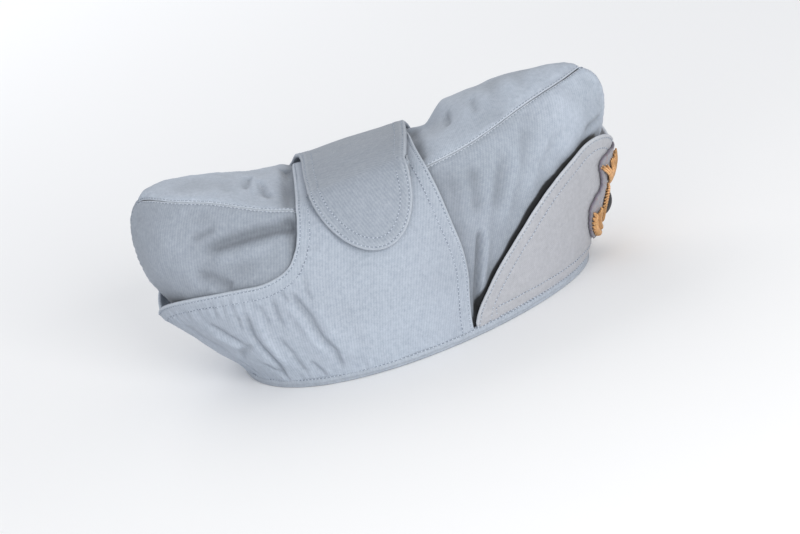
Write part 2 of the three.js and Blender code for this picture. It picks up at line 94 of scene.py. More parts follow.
# Sections of the crown by angle. seam: height of the long seam. deck: rise of the top panel
# above it. belly: how far the side swells out. rise: how high on the side that is.
# width: how wide the top panel is beside a plain boat outline.
CROWN_SECTIONS = {
    "angle": (0, 22.5, 45, 67.5, 90, 112.5, 135, 157.5, 180),
    "seam": (110, 109.3, 107.9, 100.9, 98.8, 98, 112, 118.8, 115),
    "deck": (0, 5, 11.5, 13, 9, 6, 4, 3.5, 0),
    "belly": (14.8, 12.3, 10, 9.5, 11, 13, 17, 19.5, 19.7),
    "rise": (2.5, 2.4, 2.3, 1.9, 1.1, 1, 1, 1.1, 1.15),
    "width": (1, 1, 1, 1, 1, 0.93, 0.97, 1.5, 1.4),
}

# Edges of a flap: the top of its wing, the front of the wing and of the strap over the top, and
# the rear of the strap, which is a tab on the right flap and a longer tongue on the left one
FLAP_TOP_EDGE = {
    "angle": (112, 113.1, 114.5, 116.3, 118.5, 121.5, 125.8, 131, 138, 148, 156, 166, 180),
    "height": (0.867, 0.808, 0.761, 0.711, 0.672, 0.637, 0.603, 0.584, 0.567, 0.546, 0.524, 0.492, 0.43),
}
FLAP_FRONT_EDGE = {
    "height": (0, 0.17, 0.35, 0.51, 0.64, 0.82, 1.15, 1.9, 2.35, 2.7, 3.1),
    "angle": (75.2, 74.8, 74, 74.5, 75.5, 76.5, 77.5, 78, 78.5, 79.7, 82),
}
TAB_REAR_EDGE = {
    "height": (0.867, 0.932, 1.041, 1.5, 2.6),
    "angle": (112, 111.2, 110.7, 109.7, 109),
}
TONGUE_REAR_EDGE = {
    "height": (0.867, 0.95, 1.15, 1.5, 2.5, 3.1),
    "angle": (112, 109.6, 107.4, 106.5, 106.3, 106),
}
# Ends of the straps. slant: how much farther the front corner reaches, and how much less the
# rear one. depth: how far the end is bowed out.
TAB_END = {"height": 2.5, "slant": 0, "depth": 0}
TONGUE_END = {"height": 2.93, "slant": 0.05, "depth": 0.4}
# The leaning tip of the flaps at the back: how far, within how many degrees and how steeply
PROW = {"reach": 7, "spread": 24, "power": 1.3}

# The peak: its free edge, its lean in degrees, the share of that which points forward, and the
# swelling of its front, which is full as far as one angle and ends at another
PEAK_EDGE = {
    "angle": (0, 4, 8, 12, 17, 25, 31, 37, 44, 50, 56, 63, 68, 72, 74.2),
    "slant": (67, 67.6, 70.4, 73.4, 74.5, 71, 67, 63.3, 57.7, 50.8, 42, 30.4, 20.4, 10.4, 3),
}
PEAK_LEAN = {"angle": (0, 10, 22, 38, 60, 76), "lean": (30, 27.5, 20, 15.5, 12.5, 9)}
LEAN_FORWARD = 0.7
PEAK_BULGE = {"reach": 7.5, "height": 75, "full": 25, "none": 65}

# Heights between which the wing of a flap becomes its strap over the top
STRAP = {"from": 1.0, "to": 1.6}

# A stitch. turn: how unevenly it lies. shortest, longest: shares of its length. wider: how much
# it is wider than high. bow, stand: shares of the radius by which it dips at its ends and stands
# out.
STITCH = {
    "pitch": 2.35, "length": 2.2, "radius": 0.29, "turn": 0.06,
    "shortest": 0.9, "longest": 1.08, "wider": 1.15, "bow": 0.45, "stand": 0.1,
}
# How far the rows of stitches lie from an edge. The peak's lower rows end at an angle.
HEM_ROWS = (1.9, 7.4)
TONGUE_ROWS = (1.9, 6.8)
SEAM_ROW = 1.4
PEAK_ROWS = (1.9, 8.0)
PEAK_FOOT_ROWS = (1.2, 6.0)
PEAK_ROW_ENDS = 67
RIM_ROW_HEIGHT = 4.5

# Relief of the cloth: how high and how long its slow and its quick ripples are, the groove under
# a row of stitches, the padding and the rounded fold of a hem, and the bead of the peak's edge
CROWN_RIPPLES = {"height": (0.55, 0.16), "length": (42, 13)}
FLAP_RIPPLES = {"height": (0.35, 0.12), "length": (30, 9)}
RIM_RIPPLES = {"height": (0.16, 0.08), "length": (18, 6)}
PEAK_RIPPLES = {"height": (0.25, 0.07), "length": (45, 12)}
STRAP_RIPPLE = {"height": 0.10, "length": 14}
GROOVE = {"depth": 0.28, "width": 0.5}
HEM = {"pad": 0.3, "fold": 0.35, "place": 0.8, "width": 0.6, "groove": 0.3}
BEAD = {"height": 0.35, "width": 1.2}
GATHER = {"shortest": 5, "longest": 13, "waves": 9, "width": 5, "hem": 0.4, "foot": 0.3, "peak": 0.1}

# Painted light and shade: shares by which the cloth's colour is lightened or darkened to stand in for the
# light and shade that fall on it. The first passes into the second between an angle or a height and another.
# Painted light at the front of the crown's side, painted shade further round on the side and back
CROWN_PAINTED_SHADE = {"first": 1.03, "second": 0.77, "from": 25, "to": 62}
# Painted light: the top panel is paler towards the back
TOP_PAINTED_LIGHT = {"first": 1.0, "second": 1.1, "from": 110, "to": 135}
# Painted shade: a flap is darker towards its front edge
FLAP_FRONT_PAINTED_SHADE = {"first": 0.92, "second": 1.0, "from": 74, "to": 92}
# Painted light: a flap is paler near its foot
FLAP_FOOT_PAINTED_LIGHT = {"first": 1.08, "second": 1.0, "from": 0.15, "to": 0.4}
TAB_SHADE = {"first": 1.0, "second": 1.0, "from": 2.5, "to": 3.1}
# The tongue is darker: partly a darker face of the cloth and partly painted shade
TONGUE_DYE_AND_PAINTED_SHADE = {"first": 0.7, "second": 0.78, "from": 2.5, "to": 3.1}
# Painted shade over the wing of a flap
FLAP_PAINTED_SHADE = 0.95
# Painted shade all round the rim band
RIM_PAINTED_SHADE = 0.86
# Painted shade in creases and painted light on ridges
CREASE_PAINTED_SHADE = {"ridge": 0.05, "valley": 0.11, "reach": 2, "deep": 0.1, "deep_from": 1.9, "deep_reach": 1.4}
# Painted shade in the fold of a seam
SEAM_FOLD_PAINTED_SHADE = {"shade": 0.25, "width": 0.4}
# Painted shadow that a flap's edge casts on the crown beside it
FLAP_EDGE_PAINTED_SHADOW = {"shade": 0.3, "reach": 3.2}

# Wear: how pale the cloth gets on its ridges and edges, and where
SEAM_WEAR = {"share": 0.9, "place": 0.85, "width": 0.45}
HEM_WEAR = {"share": 0.55, "place": 0.5, "width": 0.6}
ROW_WEAR = {"share": 0.15, "place": 0.9, "width": 0.8}
PEAK_WEAR = {"share": 0.6, "reach": 0.8}
RIM_WEAR = 0.15

# Where the random numbers of each piece begin
SEEDS = {
    "crown_right": 11, "crown_left": 211, "crown_top": 31, "flap_right": 21, "flap_left": 121,
    "rim": 51, "peak": 71, "patch": 91, "stitches": 5,
}

# The fine steps, in millimetres, with which a grid starts at a rounded edge
EDGE_STEPS = np.array([0, 0.1, 0.25, 0.5, 0.85, 1.3, 1.9])
# The most of a short line that these steps may take
SHORT_LINE_SHARE = 0.3
# How many places are compared with a line, or with a skin, at a time
CHUNK = 3000
BATCH = 60
# The share of a wall's thickness in which its edge is rounded
EDGE_ROUND = 0.55


def smooth(low, high, value):
    """0 below low, 1 above high, and three t squared less two t cubed between."""
    t = np.clip((value - low) / (high - low), 0, 1)
    return t * t * (3 - 2 * t)


def along(table, key, column, value):
    """A smooth curve through a table's rows: cubic pieces whose slope at each row is the mean
    of its two neighbours' slopes, weighted by the other one's length."""
    x, y = np.array(table[key], float), np.array(table[column], float)
    if x[0] > x[-1]:
        x, y = x[::-1], y[::-1]
    value = np.asarray(value, float)
    step, slope = np.diff(x), np.diff(y) / np.diff(x)
    inner = (slope[:-1] * step[1:] + slope[1:] * step[:-1]) / (step[1:] + step[:-1])
    tangent = np.concatenate([slope[:1], inner, slope[-1:]])
    i = np.clip(np.searchsorted(x, value, side="right") - 1, 0, len(x) - 2)
    width = step[i]
    t = (value - x[i]) / width
    t2, t3 = t * t, t * t * t
    start = (2 * t3 - 3 * t2 + 1) * y[i] + (t3 - 2 * t2 + t) * width * tangent[i]
    return start + (3 * t2 - 2 * t3) * y[i + 1] + (t3 - t2) * width * tangent[i + 1]


def unit(vectors):
    return vectors / np.maximum(np.linalg.norm(vectors, axis=-1, keepdims=True), 1e-9)


def mix(a, b, share):
    return a + (b - a) * share


def bell(value, place, width):
    """1 at a place and less to both sides: e to the minus square of the distance over width."""
    return np.exp(-(((value - place) / width) ** 2))


def graded(table, value):
    """A table's first number, which passes into its second one from one place to another."""
    return mix(table["first"], table["second"], smooth(table["from"], table["to"], value))


def rim_frame(angle):
    """The rim line is an egg: x is a cosine, y is a sine times one less a share of the cosine.
    The second value is its outward direction, the tangent turned by a right angle."""
    turn = np.radians(angle)
    c, s = np.cos(turn), np.sin(turn)
    zero = np.zeros_like(c)
    dx = -RIM_HALF_LENGTH * s
    dy = -RIM_HALF_WIDTH * (c * (1 - RIM_EGG * c) + RIM_EGG * s * s)
    point = np.stack([RIM_HALF_LENGTH * c, -RIM_HALF_WIDTH * s * (1 - RIM_EGG * c), zero], -1)
    return point, unit(np.stack([-dy, dx, zero], -1))


def crown_point(angle, height, flip=1):
    """Outer face of the crown. A side runs straight from the rim to the seam and swells out by
    the belly times h to the rise times one less h to BELLY_TOP. The top panel is a parabola
    between the seams. The strap over the top pulls the crown down between its two edges, more
    on the far side than on the near one. flip is -1 for a piece that is mirrored afterwards."""
    angle, height = np.broadcast_arrays(np.asarray(angle, float), np.asarray(height, float))
    left = height > 2
    h = np.where(left, 4 - height, height)
    seam_z, deck, belly, rise, width = (
        along(CROWN_SECTIONS, "angle", name, angle) for name in ("seam", "deck", "belly", "rise", "width")
    )
    foot, out = rim_frame(angle)
    foot = foot - out * CROWN_INSET
    foot[..., 2] = WALL_FOOT
    c = np.cos(np.radians(angle))
    half = SEAM_HALF_WIDTH * width * (1 - np.abs(c) ** SEAM_POWER)
    seam = np.stack([SEAM_HALF_LENGTH * c, -half, seam_z], -1)
    low = np.clip(h, 0, 1)
    fullest = rise / (rise + BELLY_TOP)
    most = fullest**rise * (1 - fullest) ** BELLY_TOP
    swell = belly * low**rise * (1 - low) ** BELLY_TOP / most
    side = mix(foot, seam, low[..., None]) + out * swell[..., None]
    across = np.clip(2 - h, 0, 1)
    top = np.stack([seam[..., 0], -half * across, seam_z + deck * (1 - across**2)], -1)
    p = np.where((h <= 1)[..., None], side, top)
    p[..., 1] = np.where(left, -p[..., 1], p[..., 1])
    share = np.clip((p[..., 0] - STRAP_REAR["x"]) / (STRAP_FRONT["x"] - STRAP_REAR["x"]), 0, 1)
    true_y = flip * p[..., 1]
    far = smooth(DIP_SIDES["near"], DIP_SIDES["far"], true_y)
    dip = mix(STRAP_REAR["dip"], mix(STRAP_FRONT["near"], STRAP_FRONT["far"], far), share)
    front = STRAP_FRONT["x"] + STRAP_SKEW * (true_y - SEAM_HALF_WIDTH)
    behind = smooth(STRAP_REAR["x"] - STRAP_REAR["edge"], STRAP_REAR["x"], p[..., 0])
    ahead = smooth(front, front + mix(STRAP_FRONT["near_edge"], STRAP_FRONT["far_edge"], far), p[..., 0])
    p[..., 2] -= dip * behind * (1 - ahead) * smooth(0.55, 1, h)
    return p


def crown_out(angle, height, reach=0.03, flip=1):
    """Outward direction of the crown: its two tangents' cross product, level at the rim."""
    angle, height = np.broadcast_arrays(np.asarray(angle, float), np.asarray(height, float))

    def at(turn, up):
        return crown_point(turn, up, flip)

    around = at(np.minimum(angle + 2, 180), height) - at(np.maximum(angle - 2, 0), height)
    upward = at(angle, height + reach) - at(angle, np.maximum(height - reach, 0))
    out = unit(np.cross(upward, around))
    out = unit(mix(out, rim_frame(angle)[1], (1 - smooth(0, 0.12, height))[..., None]))
    out[..., 1] *= smooth(0, 6, np.minimum(angle, 180 - angle) + 0.001)
    return unit(out)


def peak_face(angle, slant):
    """Outer face of the peak: up from the rim, leaning mostly forward and a little outward. Its
    front swells by the root of the share of its height times the square of what is left."""
    turn = np.abs(angle)
    point, out = rim_frame(turn)
    lean = np.radians(along(PEAK_LEAN, "angle", "lean", turn))
    forward = unit(np.array([LEAN_FORWARD, 0, 0]) + out * (1 - LEAN_FORWARD))
    share = np.clip(slant / PEAK_BULGE["height"], 0, 1)
    front = 1 - smooth(PEAK_BULGE["full"], PEAK_BULGE["none"], turn)
    bulge = PEAK_BULGE["reach"] * np.sqrt(share) * (1 - share) ** 2 * front
    p = point - out * FLAP_INSET + forward * (slant * np.sin(lean) + bulge)[..., None]
    p[..., 2] = WALL_FOOT + slant * np.cos(lean)
    p[..., 1] *= np.where(angle < 0, -1, 1)
    return p


def peak_point(angle, slant, lift):
    """The peak's face moved out by lift, square to it but level along the foot."""
    angle, slant, lift = np.broadcast_arrays(
        np.asarray(angle, float), np.asarray(slant, float), np.asarray(lift, float)
    )
    around = peak_face(angle + 1, slant) - peak_face(angle - 1, slant)
    upward = peak_face(angle, slant + 1) - peak_face(angle, slant)
    out = unit(np.cross(upward, around))
    level = rim_frame(np.abs(angle))[1]
    level[..., 1] *= np.where(angle < 0, -1, 1)
    out = unit(mix(out, level, (1 - smooth(0, 8, slant))[..., None]))
    return peak_face(angle, slant) + out * lift[..., None]


def girth(angle):
    """Length of cloth round the crown at half its height, from the front to an angle."""
    turns = np.linspace(0, 180, 361)
    steps = np.linalg.norm(np.diff(crown_point(turns, 0.5), axis=0), axis=-1)
    return np.interp(angle, turns, np.concatenate([[0], np.cumsum(steps)]))


# Cloth from the rim to the seam, in millimetres
CLOTH_PER_HEIGHT = 108


def cloth_map(angle, height):
    """Place on the cloth in millimetres: girth round the head and length up from the rim."""
    return np.stack([girth(angle), np.asarray(height, float) * CLOTH_PER_HEIGHT], -1)


def fine_ended(count, length):
    """Places from 0 to 1 along a length: EDGE_STEPS at each end and even steps between."""
    length = np.asarray(length, float)[..., None]
    ends = EDGE_STEPS * np.minimum(1 / length, SHORT_LINE_SHARE / EDGE_STEPS[-1])
    last = ends[..., -1:]
    between = last + (1 - 2 * last) * np.linspace(0, 1, count + 2)[1:-1]
    return np.concatenate([ends, between, 1 - ends[..., ::-1]], -1)


def distance_to(points, line):
    """Distance of each place from a polyline, and how far along it the nearest place lies,
    from 0 to 1: the place is projected on every segment and the nearest one is kept."""
    flat = points.reshape(-1, 3)
    start, step = line[:-1], np.diff(line, axis=0)
    square = np.maximum((step**2).sum(-1), 1e-9)
    reach = np.concatenate([[0], np.cumsum(np.sqrt(square))])
    gaps, places = [], []
    for first in range(0, len(flat), CHUNK):
        away = flat[first : first + CHUNK, None] - start
        t = np.clip((away * step).sum(-1) / square, 0, 1)
        gap = ((away - t[..., None] * step) ** 2).sum(-1)
        near = gap.argmin(1)
        rows = np.arange(len(near))
        gaps.append(np.sqrt(gap[rows, near]))
        places.append(reach[near] + t[rows, near] * np.sqrt(square[near]))
    shape = points.shape[:-1]
    return np.concatenate(gaps).reshape(shape), np.concatenate(places).reshape(shape) / reach[-1]


def ripples(points, length, seed, stretch=(1, 1, 1), waves=14):
    """Soft unevenness of about unit height: a sum of plane waves whose directions and phases
    are random and whose lengths lie round the given one, longer along a stretched axis."""
    rng = np.random.default_rng(seed)
    direction = unit(rng.normal(size=(waves, 3)))
    number = 2 * np.pi / (length * rng.uniform(0.7, 1.5, waves))
    phase = rng.uniform(0, 2 * np.pi, waves)
    vectors = direction * number[:, None] / np.array(stretch)
    return np.sin(points @ vectors.T + phase).sum(-1) * math.sqrt(2 / waves)


def uneven(points, table, seed):
    """The sum of a table's ripples, each with its height and its length."""
    rows = enumerate(zip(table["height"], table["length"]))
    return sum(height * ripples(points, length, seed + number) for number, (height, length) in rows)


def folds(points, table, surface):
    """Soft ridges and valleys: each falls off from its line as a bell curve and fades out
    towards the line's ends."""
    total = np.zeros(points.shape[:-1])
    for row in table:
        knots = np.array(row["through"], float)
        fine = np.linspace(0, len(knots) - 1, 6 * len(knots))
        places = [np.interp(fine, np.arange(len(knots)), knots[:, k]) for k in (0, 1)]
        away, place = distance_to(points, surface(*places))
        fade = smooth(-0.02, row.get("start", FADE), place) * smooth(-0.02, row.get("end", FADE), 1 - place)
        total += row["height"] * bell(away, 0, row["width"]) * fade
    return total


def grid_normals(points, guide):
    """The grid's two differences crossed, turned to the guide's side."""
    normal = unit(np.cross(np.gradient(points, axis=0), np.gradient(points, axis=1)))
    side = np.sign((normal * guide).sum())
    return normal * (side if side else 1)


def new_piece(name, points, faces, finish, layers=None, cloth=None):
    """Puts arrays of points, in millimetres, and faces into a new object at the origin.
    layers are numbers kept on the points, and cloth is each point's place on the cloth."""
    mesh = bpy.data.meshes.new(name)
    mesh.from_pydata((points * MM).tolist(), [], faces.tolist() if hasattr(faces, "tolist") else faces)
    if cloth is not None:
        corners = np.empty(len(mesh.loops), np.int32)
        mesh.loops.foreach_get("vertex_index", corners)
        chart = mesh.uv_layers.new(name="cloth")
        chart.data.foreach_set("uv", (cloth[corners] * MM).astype(np.float32).ravel())
    for key, values in (layers or {}).items():
        mesh.attributes.new(key, "FLOAT", "POINT").data.foreach_set("value", values.astype(np.float32))
    mesh.polygons.foreach_set("use_smooth", np.ones(len(mesh.polygons), bool))
    mesh.update()
    mesh.materials.append(finish)
    piece = bpy.data.objects.new(name, mesh)
    bpy.context.collection.objects.link(piece)
    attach(piece, BODY)
    return piece


def grid_faces(ids):
    """Four-sided faces between neighbouring rows and columns of an array of point numbers."""
    return np.stack([ids[:-1, :-1], ids[1:, :-1], ids[1:, 1:], ids[:-1, 1:]], -1).reshape(-1, 4)


def signed_volume(points, quads):
    a, b, c, d = (points[quads[:, k]] for k in range(4))
    return (np.cross(b, c) * a).sum() + (np.cross(c, d) * a).sum()


def closed_grid(outer, inner):
    """One closed skin from two grids that share their border. Also gives the function that
    brings numbers kept on the grid into the order of the points."""
    rows, columns = outer.shape[:2]
    ids = np.arange(rows * columns).reshape(rows, columns)
    inner_ids = ids.copy()
    inner_ids[1:-1, 1:-1] = rows * columns + np.arange((rows - 2) * (columns - 2)).reshape(rows - 2, -1)
    points = np.concatenate([outer.reshape(-1, 3), inner[1:-1, 1:-1].reshape(-1, 3)])
    faces = np.concatenate([grid_faces(ids), grid_faces(inner_ids)[:, ::-1]])
    if signed_volume(points, faces) < 0:
        faces = faces[:, ::-1]

    def both(values):
        last = values.shape[2:]
        return np.concatenate([values.reshape(-1, *last), values[1:-1, 1:-1].reshape(-1, *last)])

    return points, faces, both


class Cloth:
    """A cloth wall on a grid. Its two skins stand half the wall off the middle surface and
    come together in a half round along all four sides, so the wall is closed."""

    def __init__(self, face, out, wall, edge, relief=0.0, cloth=None, layers=None):
        wall = np.broadcast_to(np.asarray(wall, float), face.shape[:-1])
        normal = grid_normals(face, out)
        radius = wall * EDGE_ROUND
        share = np.clip(edge / radius, 0, 1)
        half = wall / 2 * np.sqrt(1 - (1 - share) ** 2)
        middle = face - normal * (wall / 2)[..., None]
        self.normal = normal
        self.outer = middle + normal * (half + relief * share)[..., None]
        self.inner = middle - normal * half[..., None]
        self.cloth = cloth
        self.layers = layers or {}

    def mirror(self):
        """The same wall on the other side of the middle plane."""
        for array in (self.outer, self.inner, self.normal):
            array[..., 1] *= -1
        return self

    def piece(self, name, finish, slot, node):
        points, faces, both = closed_grid(self.outer, self.inner)
        layers = {key: both(values) for key, values in self.layers.items()}
        piece = new_piece(name, points, faces, finish, layers, both(self.cloth))
        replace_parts(piece, node)
        return piece

    def row_at(self, distance, wanted, first_side=True, axis=1):
        """The line on the outer skin where distance first reaches the wanted value, looked for
        along each grid line of an axis from one side, with the outward direction there."""
        reach, points, normals = (
            grid.swapaxes(0, 1) if axis == 0 else grid for grid in (distance, self.outer, self.normal)
        )
        if not first_side:
            reach, points, normals = reach[:, ::-1], points[:, ::-1], normals[:, ::-1]
        beyond = reach >= wanted
        rows = np.nonzero((reach[:, 0] < wanted) & beyond.any(1))[0]
        j = beyond[rows].argmax(1)
        a, b = reach[rows, j - 1], reach[rows, j]
        t = ((wanted - a) / (b - a))[:, None]
        out = unit(mix(normals[rows, j - 1], normals[rows, j], t))
        return mix(points[rows, j - 1], points[rows, j], t), out

    def row_beside(self, border, wanted):
        """The line on the outer skin that runs beside a border, given as row and column numbers.
        Each place moves in from the border, square to it and to the outward direction, and then
        along the outward direction of its nearest grid point onto the skin."""
        line, normals = self.outer[border], self.normal[border]
        inner = tuple(np.clip(k, 3, n - 4) for k, n in zip(border, self.outer.shape))
        place, tangent, out = resampled(line, normals, 1.2)
        away = unit(np.cross(out, tangent))
        ahead = self.outer[inner] - line
        side = np.sign((np.cross(normals, np.gradient(line, axis=0)) * ahead).sum())
        place = place + away * side * wanted
        place = place[distance_to(place, line)[0] > wanted - 0.35]
        skin, outward = self.outer.reshape(-1, 3), self.normal.reshape(-1, 3)
        parts = np.array_split(place, len(place) // BATCH + 1)
        near = np.concatenate([((part[:, None] - skin) ** 2).sum(-1).argmin(1) for part in parts])
        drop = ((place - skin[near]) * outward[near]).sum(-1)
        return place - outward[near] * drop[:, None], outward[near]


def resampled(line, normals, pitch):
    """Places every pitch along a polyline, with their tangents and outward directions."""
    keep = np.concatenate([[True], np.linalg.norm(np.diff(line, axis=0), axis=-1) > 1e-4])
    line, normals = line[keep], normals[keep]
    reach = np.concatenate([[0], np.cumsum(np.linalg.norm(np.diff(line, axis=0), axis=-1))])
    count = max(int(reach[-1] / pitch), 1)
    wanted = (np.arange(count) + 0.5) * reach[-1] / count

    def at(values, places):
        return np.stack([np.interp(places, reach, values[:, k]) for k in range(3)], -1)

    tangent = unit(at(line, wanted + pitch / 4) - at(line, wanted - pitch / 4))
    return at(line, wanted), tangent, unit(at(normals, wanted))


def stitch_template():
    """One stitch as rings along x: an ellipse that is fuller in the middle, bowed down at the
    ends where the thread enters the cloth. The last number is 1 at the ends."""
    steps = np.array([0.0, 0.17, 0.5, 0.83, 1.0])
    turns = np.arange(6) * math.pi / 3
    swell = 0.7 + 0.4 * np.sin(np.pi * steps)
    x = np.repeat(steps - 0.5, 6)
    y = np.outer(swell, np.cos(turns)).ravel()
    z = np.outer(swell, np.sin(turns)).ravel()
    bow = -np.repeat((2 * steps - 1) ** 2, 6)
    ids = np.arange(30).reshape(5, 6)
    ring = np.concatenate([ids, ids[:, :1]], 1)
    quads = grid_faces(ring)
    caps = [ids[0].tolist(), ids[-1, ::-1].tolist()]
    # 1 at the ends, where the thread gets painted shade as it goes into the cloth
    end = np.repeat(np.array([1.0, 0.75, 0.0, 0.75, 1.0]), 6)
    return np.stack([x, y, z, bow, end], -1), quads, caps


def stitches(name, rows, finish, stitch):
    """Threads along rows of (line, normals): the template is placed by each stitch's tangent,
    side and outward direction, with a little random turn and length."""
    shape, quads, caps = stitch_template()
    parts = [resampled(line, normals, stitch["pitch"]) for line, normals in rows if len(line) > 2]
    centre, tangent, out = (np.concatenate([part[k] for part in parts]) for k in range(3))
    rng = np.random.default_rng(SEEDS["stitches"])
    count = len(centre)
    side = unit(np.cross(out, tangent))
    skew = rng.normal(0, stitch["turn"], count)[:, None]
    tangent = unit(tangent + side * skew)
    side = unit(np.cross(out, tangent))
    length = stitch["length"] * rng.uniform(stitch["shortest"], stitch["longest"], count)[:, None, None]
    radius = stitch["radius"]
    x, y, z, bow = (shape[:, k][None, :, None] for k in range(4))
    points = (
        centre[:, None]
        + tangent[:, None] * x * length
        + side[:, None] * y * radius * stitch["wider"]
        + out[:, None] * (z + bow * stitch["bow"] + stitch["stand"]) * radius
    )
    size = len(shape)
    offsets = (np.arange(count) * size)[:, None, None]
    all_quads = (quads[None] + offsets).reshape(-1, 4).tolist()
    for cap in caps:
        all_quads += (np.array(cap)[None] + offsets[:, 0]).tolist()
    ends = {"end": np.tile(shape[:, 4], count)}
    return new_piece(name, points.reshape(-1, 3), all_quads, finish, ends)


class Socket:
    """A node's output in a material, on which arithmetic adds Math nodes."""

    def __init__(self, finish, output):
        self.finish = finish
        self.output = output

    def maths(self, operation, *values):
        return self.finish.node("ShaderNodeMath", values, operation=operation)

    def __add__(self, other):
        return self.maths("ADD", self, other)

    def __sub__(self, other):
        return self.maths("SUBTRACT", self, other)

    def __rsub__(self, other):
        return self.maths("SUBTRACT", other, self)

    def __mul__(self, other):
        return self.maths("MULTIPLY", self, other)

    __radd__ = __add__
    __rmul__ = __mul__

    def sine(self):
        return self.maths("SINE", self)

    def clipped(self):
        return self.finish.node("ShaderNodeClamp", (self, 0.0, 1.0))


class Finish:
    """A material in the making: its shader, and one method that adds any other node."""

    def __init__(self, name, **constants):
        self.material = bpy.data.materials.new(name)
        self.material.use_nodes = True
        self.tree = self.material.node_tree
        self.shader = self.tree.nodes["Principled BSDF"]
        for key, value in constants.items():
            self.shader.inputs[key.replace("_", " ").title()].default_value = value
        self.material.diffuse_color = (*constants.get("Base_Color", (0.5, 0.5, 0.5))[:3], 1)

    def node(self, kind, values=(), output=0, **settings):
        """Adds a node: settings first, then each value or link in the order of its sockets,
        or by a socket's name or number where values is a dictionary."""
        node = self.tree.nodes.new(kind)
        for key, value in settings.items():
            setattr(node, key, value)
        pairs = values.items() if isinstance(values, dict) else enumerate(values)
        for key, value in pairs:
            self.feed(node.inputs[key], value)
        return Socket(self, node.outputs[output])

    def feed(self, socket, value):
        if isinstance(value, Socket):
            self.tree.links.new(value.output, socket)
        else:
            socket.default_value = value

    def shade(self, key, value):
        self.feed(self.shader.inputs[key], value)

    def object_place(self):
        return self.node("ShaderNodeTexCoord", output="Object")

    def layer(self, name):
        return self.node("ShaderNodeAttribute", output="Fac", attribute_name=name)

    def noise(self, place, scale, detail=2.0, roughness=0.5, distortion=0.0):
        values = {
            "Vector": place, "Scale": scale, "Detail": detail,
            "Roughness": roughness, "Distortion": distortion,
        }
        return self.node("ShaderNodeTexNoise", values)

    def blend(self, share, first, second):
        """A colour between two, by a share from 0 to 1."""
        return self.node("ShaderNodeMix", {0: share, 6: first, 7: second}, output=2, data_type="RGBA")

    def darkened(self, base, shade):
        """A colour times a grey shade."""
        values = {0: 1.0, 6: base, 7: shade}
        return self.node("ShaderNodeMix", values, output=2, data_type="RGBA", blend_type="MULTIPLY")

    def bump(self, height, distance, strength=1.0):
        return self.node("ShaderNodeBump", {"Strength": strength, "Distance": distance, "Height": height})


def colour(red, green, blue):
    """A colour of the screen, each part from 0 to 255, as the light that the shader takes."""
    parts = (part / 255 for part in (red, green, blue))
    return tuple(p / 12.92 if p <= 0.04045 else ((p + 0.055) / 1.055) ** 2.4 for p in parts) + (1.0,)


# Pitch of the ribs and of the diagonal lines, in metres, and how they lean. The peak's ribs are
# weaker than those of the rest.
RIB_PITCH = 0.0016
TWILL_PITCH = 0.00085
GRAIN_LEAN = math.radians(18.4)
TWILL_LEAN = math.radians(-38)
PEAK_RIBS = 0.2


def twill(name, dark, light, rib, tint, pale):
    """Cotton twill: soft ribs and finer diagonal lines that follow the cloth, uneven yarns,
    a slow drift between two tints, and paler thread on worn edges."""
    made = Finish(name, Roughness=0.92, Sheen_Weight=0.12, Sheen_Roughness=0.5)
    chart = made.node("ShaderNodeUVMap", uv_map="cloth")
    parts = [made.node("ShaderNodeSeparateXYZ", (chart,), output=k) for k in (0, 1)]
    place = made.object_place()
    wander = made.noise(place, scale=55.0)

    def lines(pitch, lean, waver):
        across = parts[0] * math.cos(lean) + parts[1] * math.sin(lean)
        return (across * (2 * math.pi / pitch) + wander * waver).sine()

    ribs = lines(RIB_PITCH, GRAIN_LEAN, 3.0)
    diagonal = lines(TWILL_PITCH, TWILL_LEAN, 7.0)
    yarn = made.noise(place, scale=1900.0, roughness=0.6)
    fleck = made.noise(place, scale=420.0, detail=3.0, roughness=0.6)
    drift = made.noise(place, scale=16.0, detail=3.0, roughness=0.55)
    level = 0.5 + ribs * (0.16 * rib) + diagonal * 0.04
    level = level + (yarn - 0.5) * 0.6 + (fleck - 0.5) * 0.7
    base = made.blend(level.clipped(), dark, light)
    drifted = made.blend(((drift - 0.5) * 1.4 + 0.45).clipped(), base, tint)
    # The shade layer is painted light and shade, multiplied into the cloth's colour
    shaded = made.darkened(made.blend(0.16, base, drifted), made.layer("shade"))
    worn = made.blend((made.layer("wear") * (0.45 + fleck * 0.6)).clipped(), shaded, pale)
    made.shade("Base Color", worn)
    made.shade("Roughness", 0.86 + yarn * 0.1)
    relief = ribs * (0.25 * rib) + diagonal * 0.25 + yarn * 0.9
    made.shade("Normal", made.bump(relief, distance=0.00011, strength=0.8))
    return made.material


def thread(name, dark, light, hole_shade):
    """Sewing thread: pale, with fine uneven strands, and painted shade in the holes where it goes into the
    cloth.
    """
    made = Finish(name, Roughness=0.8)
    grain = made.noise(made.object_place(), scale=1500.0)
    strands = made.blend(grain, dark, light)
    made.shade("Base Color", made.blend(made.layer("end"), strands, hole_shade))
    made.shade("Normal", made.bump(grain, distance=0.0001, strength=0.6))
    return made.material


def felt(name, dark, light, fleck_colour, edge):
    """Cut felt: fibres in every direction, coloured flecks and a darker cut edge."""
    made = Finish(name, Roughness=0.95, Sheen_Weight=0.2)
    place = made.object_place()
    fibre = made.noise(place, scale=900.0, detail=4.0, roughness=0.7, distortion=1.5)
    fleck = made.noise(place, scale=350.0)
    base = made.blend(((fleck - 0.55) * 4.0).clipped(), made.blend(fibre, dark, light), fleck_colour)
    made.shade("Base Color", made.blend(made.layer("rim"), base, edge))
    made.shade("Normal", made.bump(fibre, distance=0.0003, strength=0.9))
    return made.material


BULLION_PITCH = 0.00042


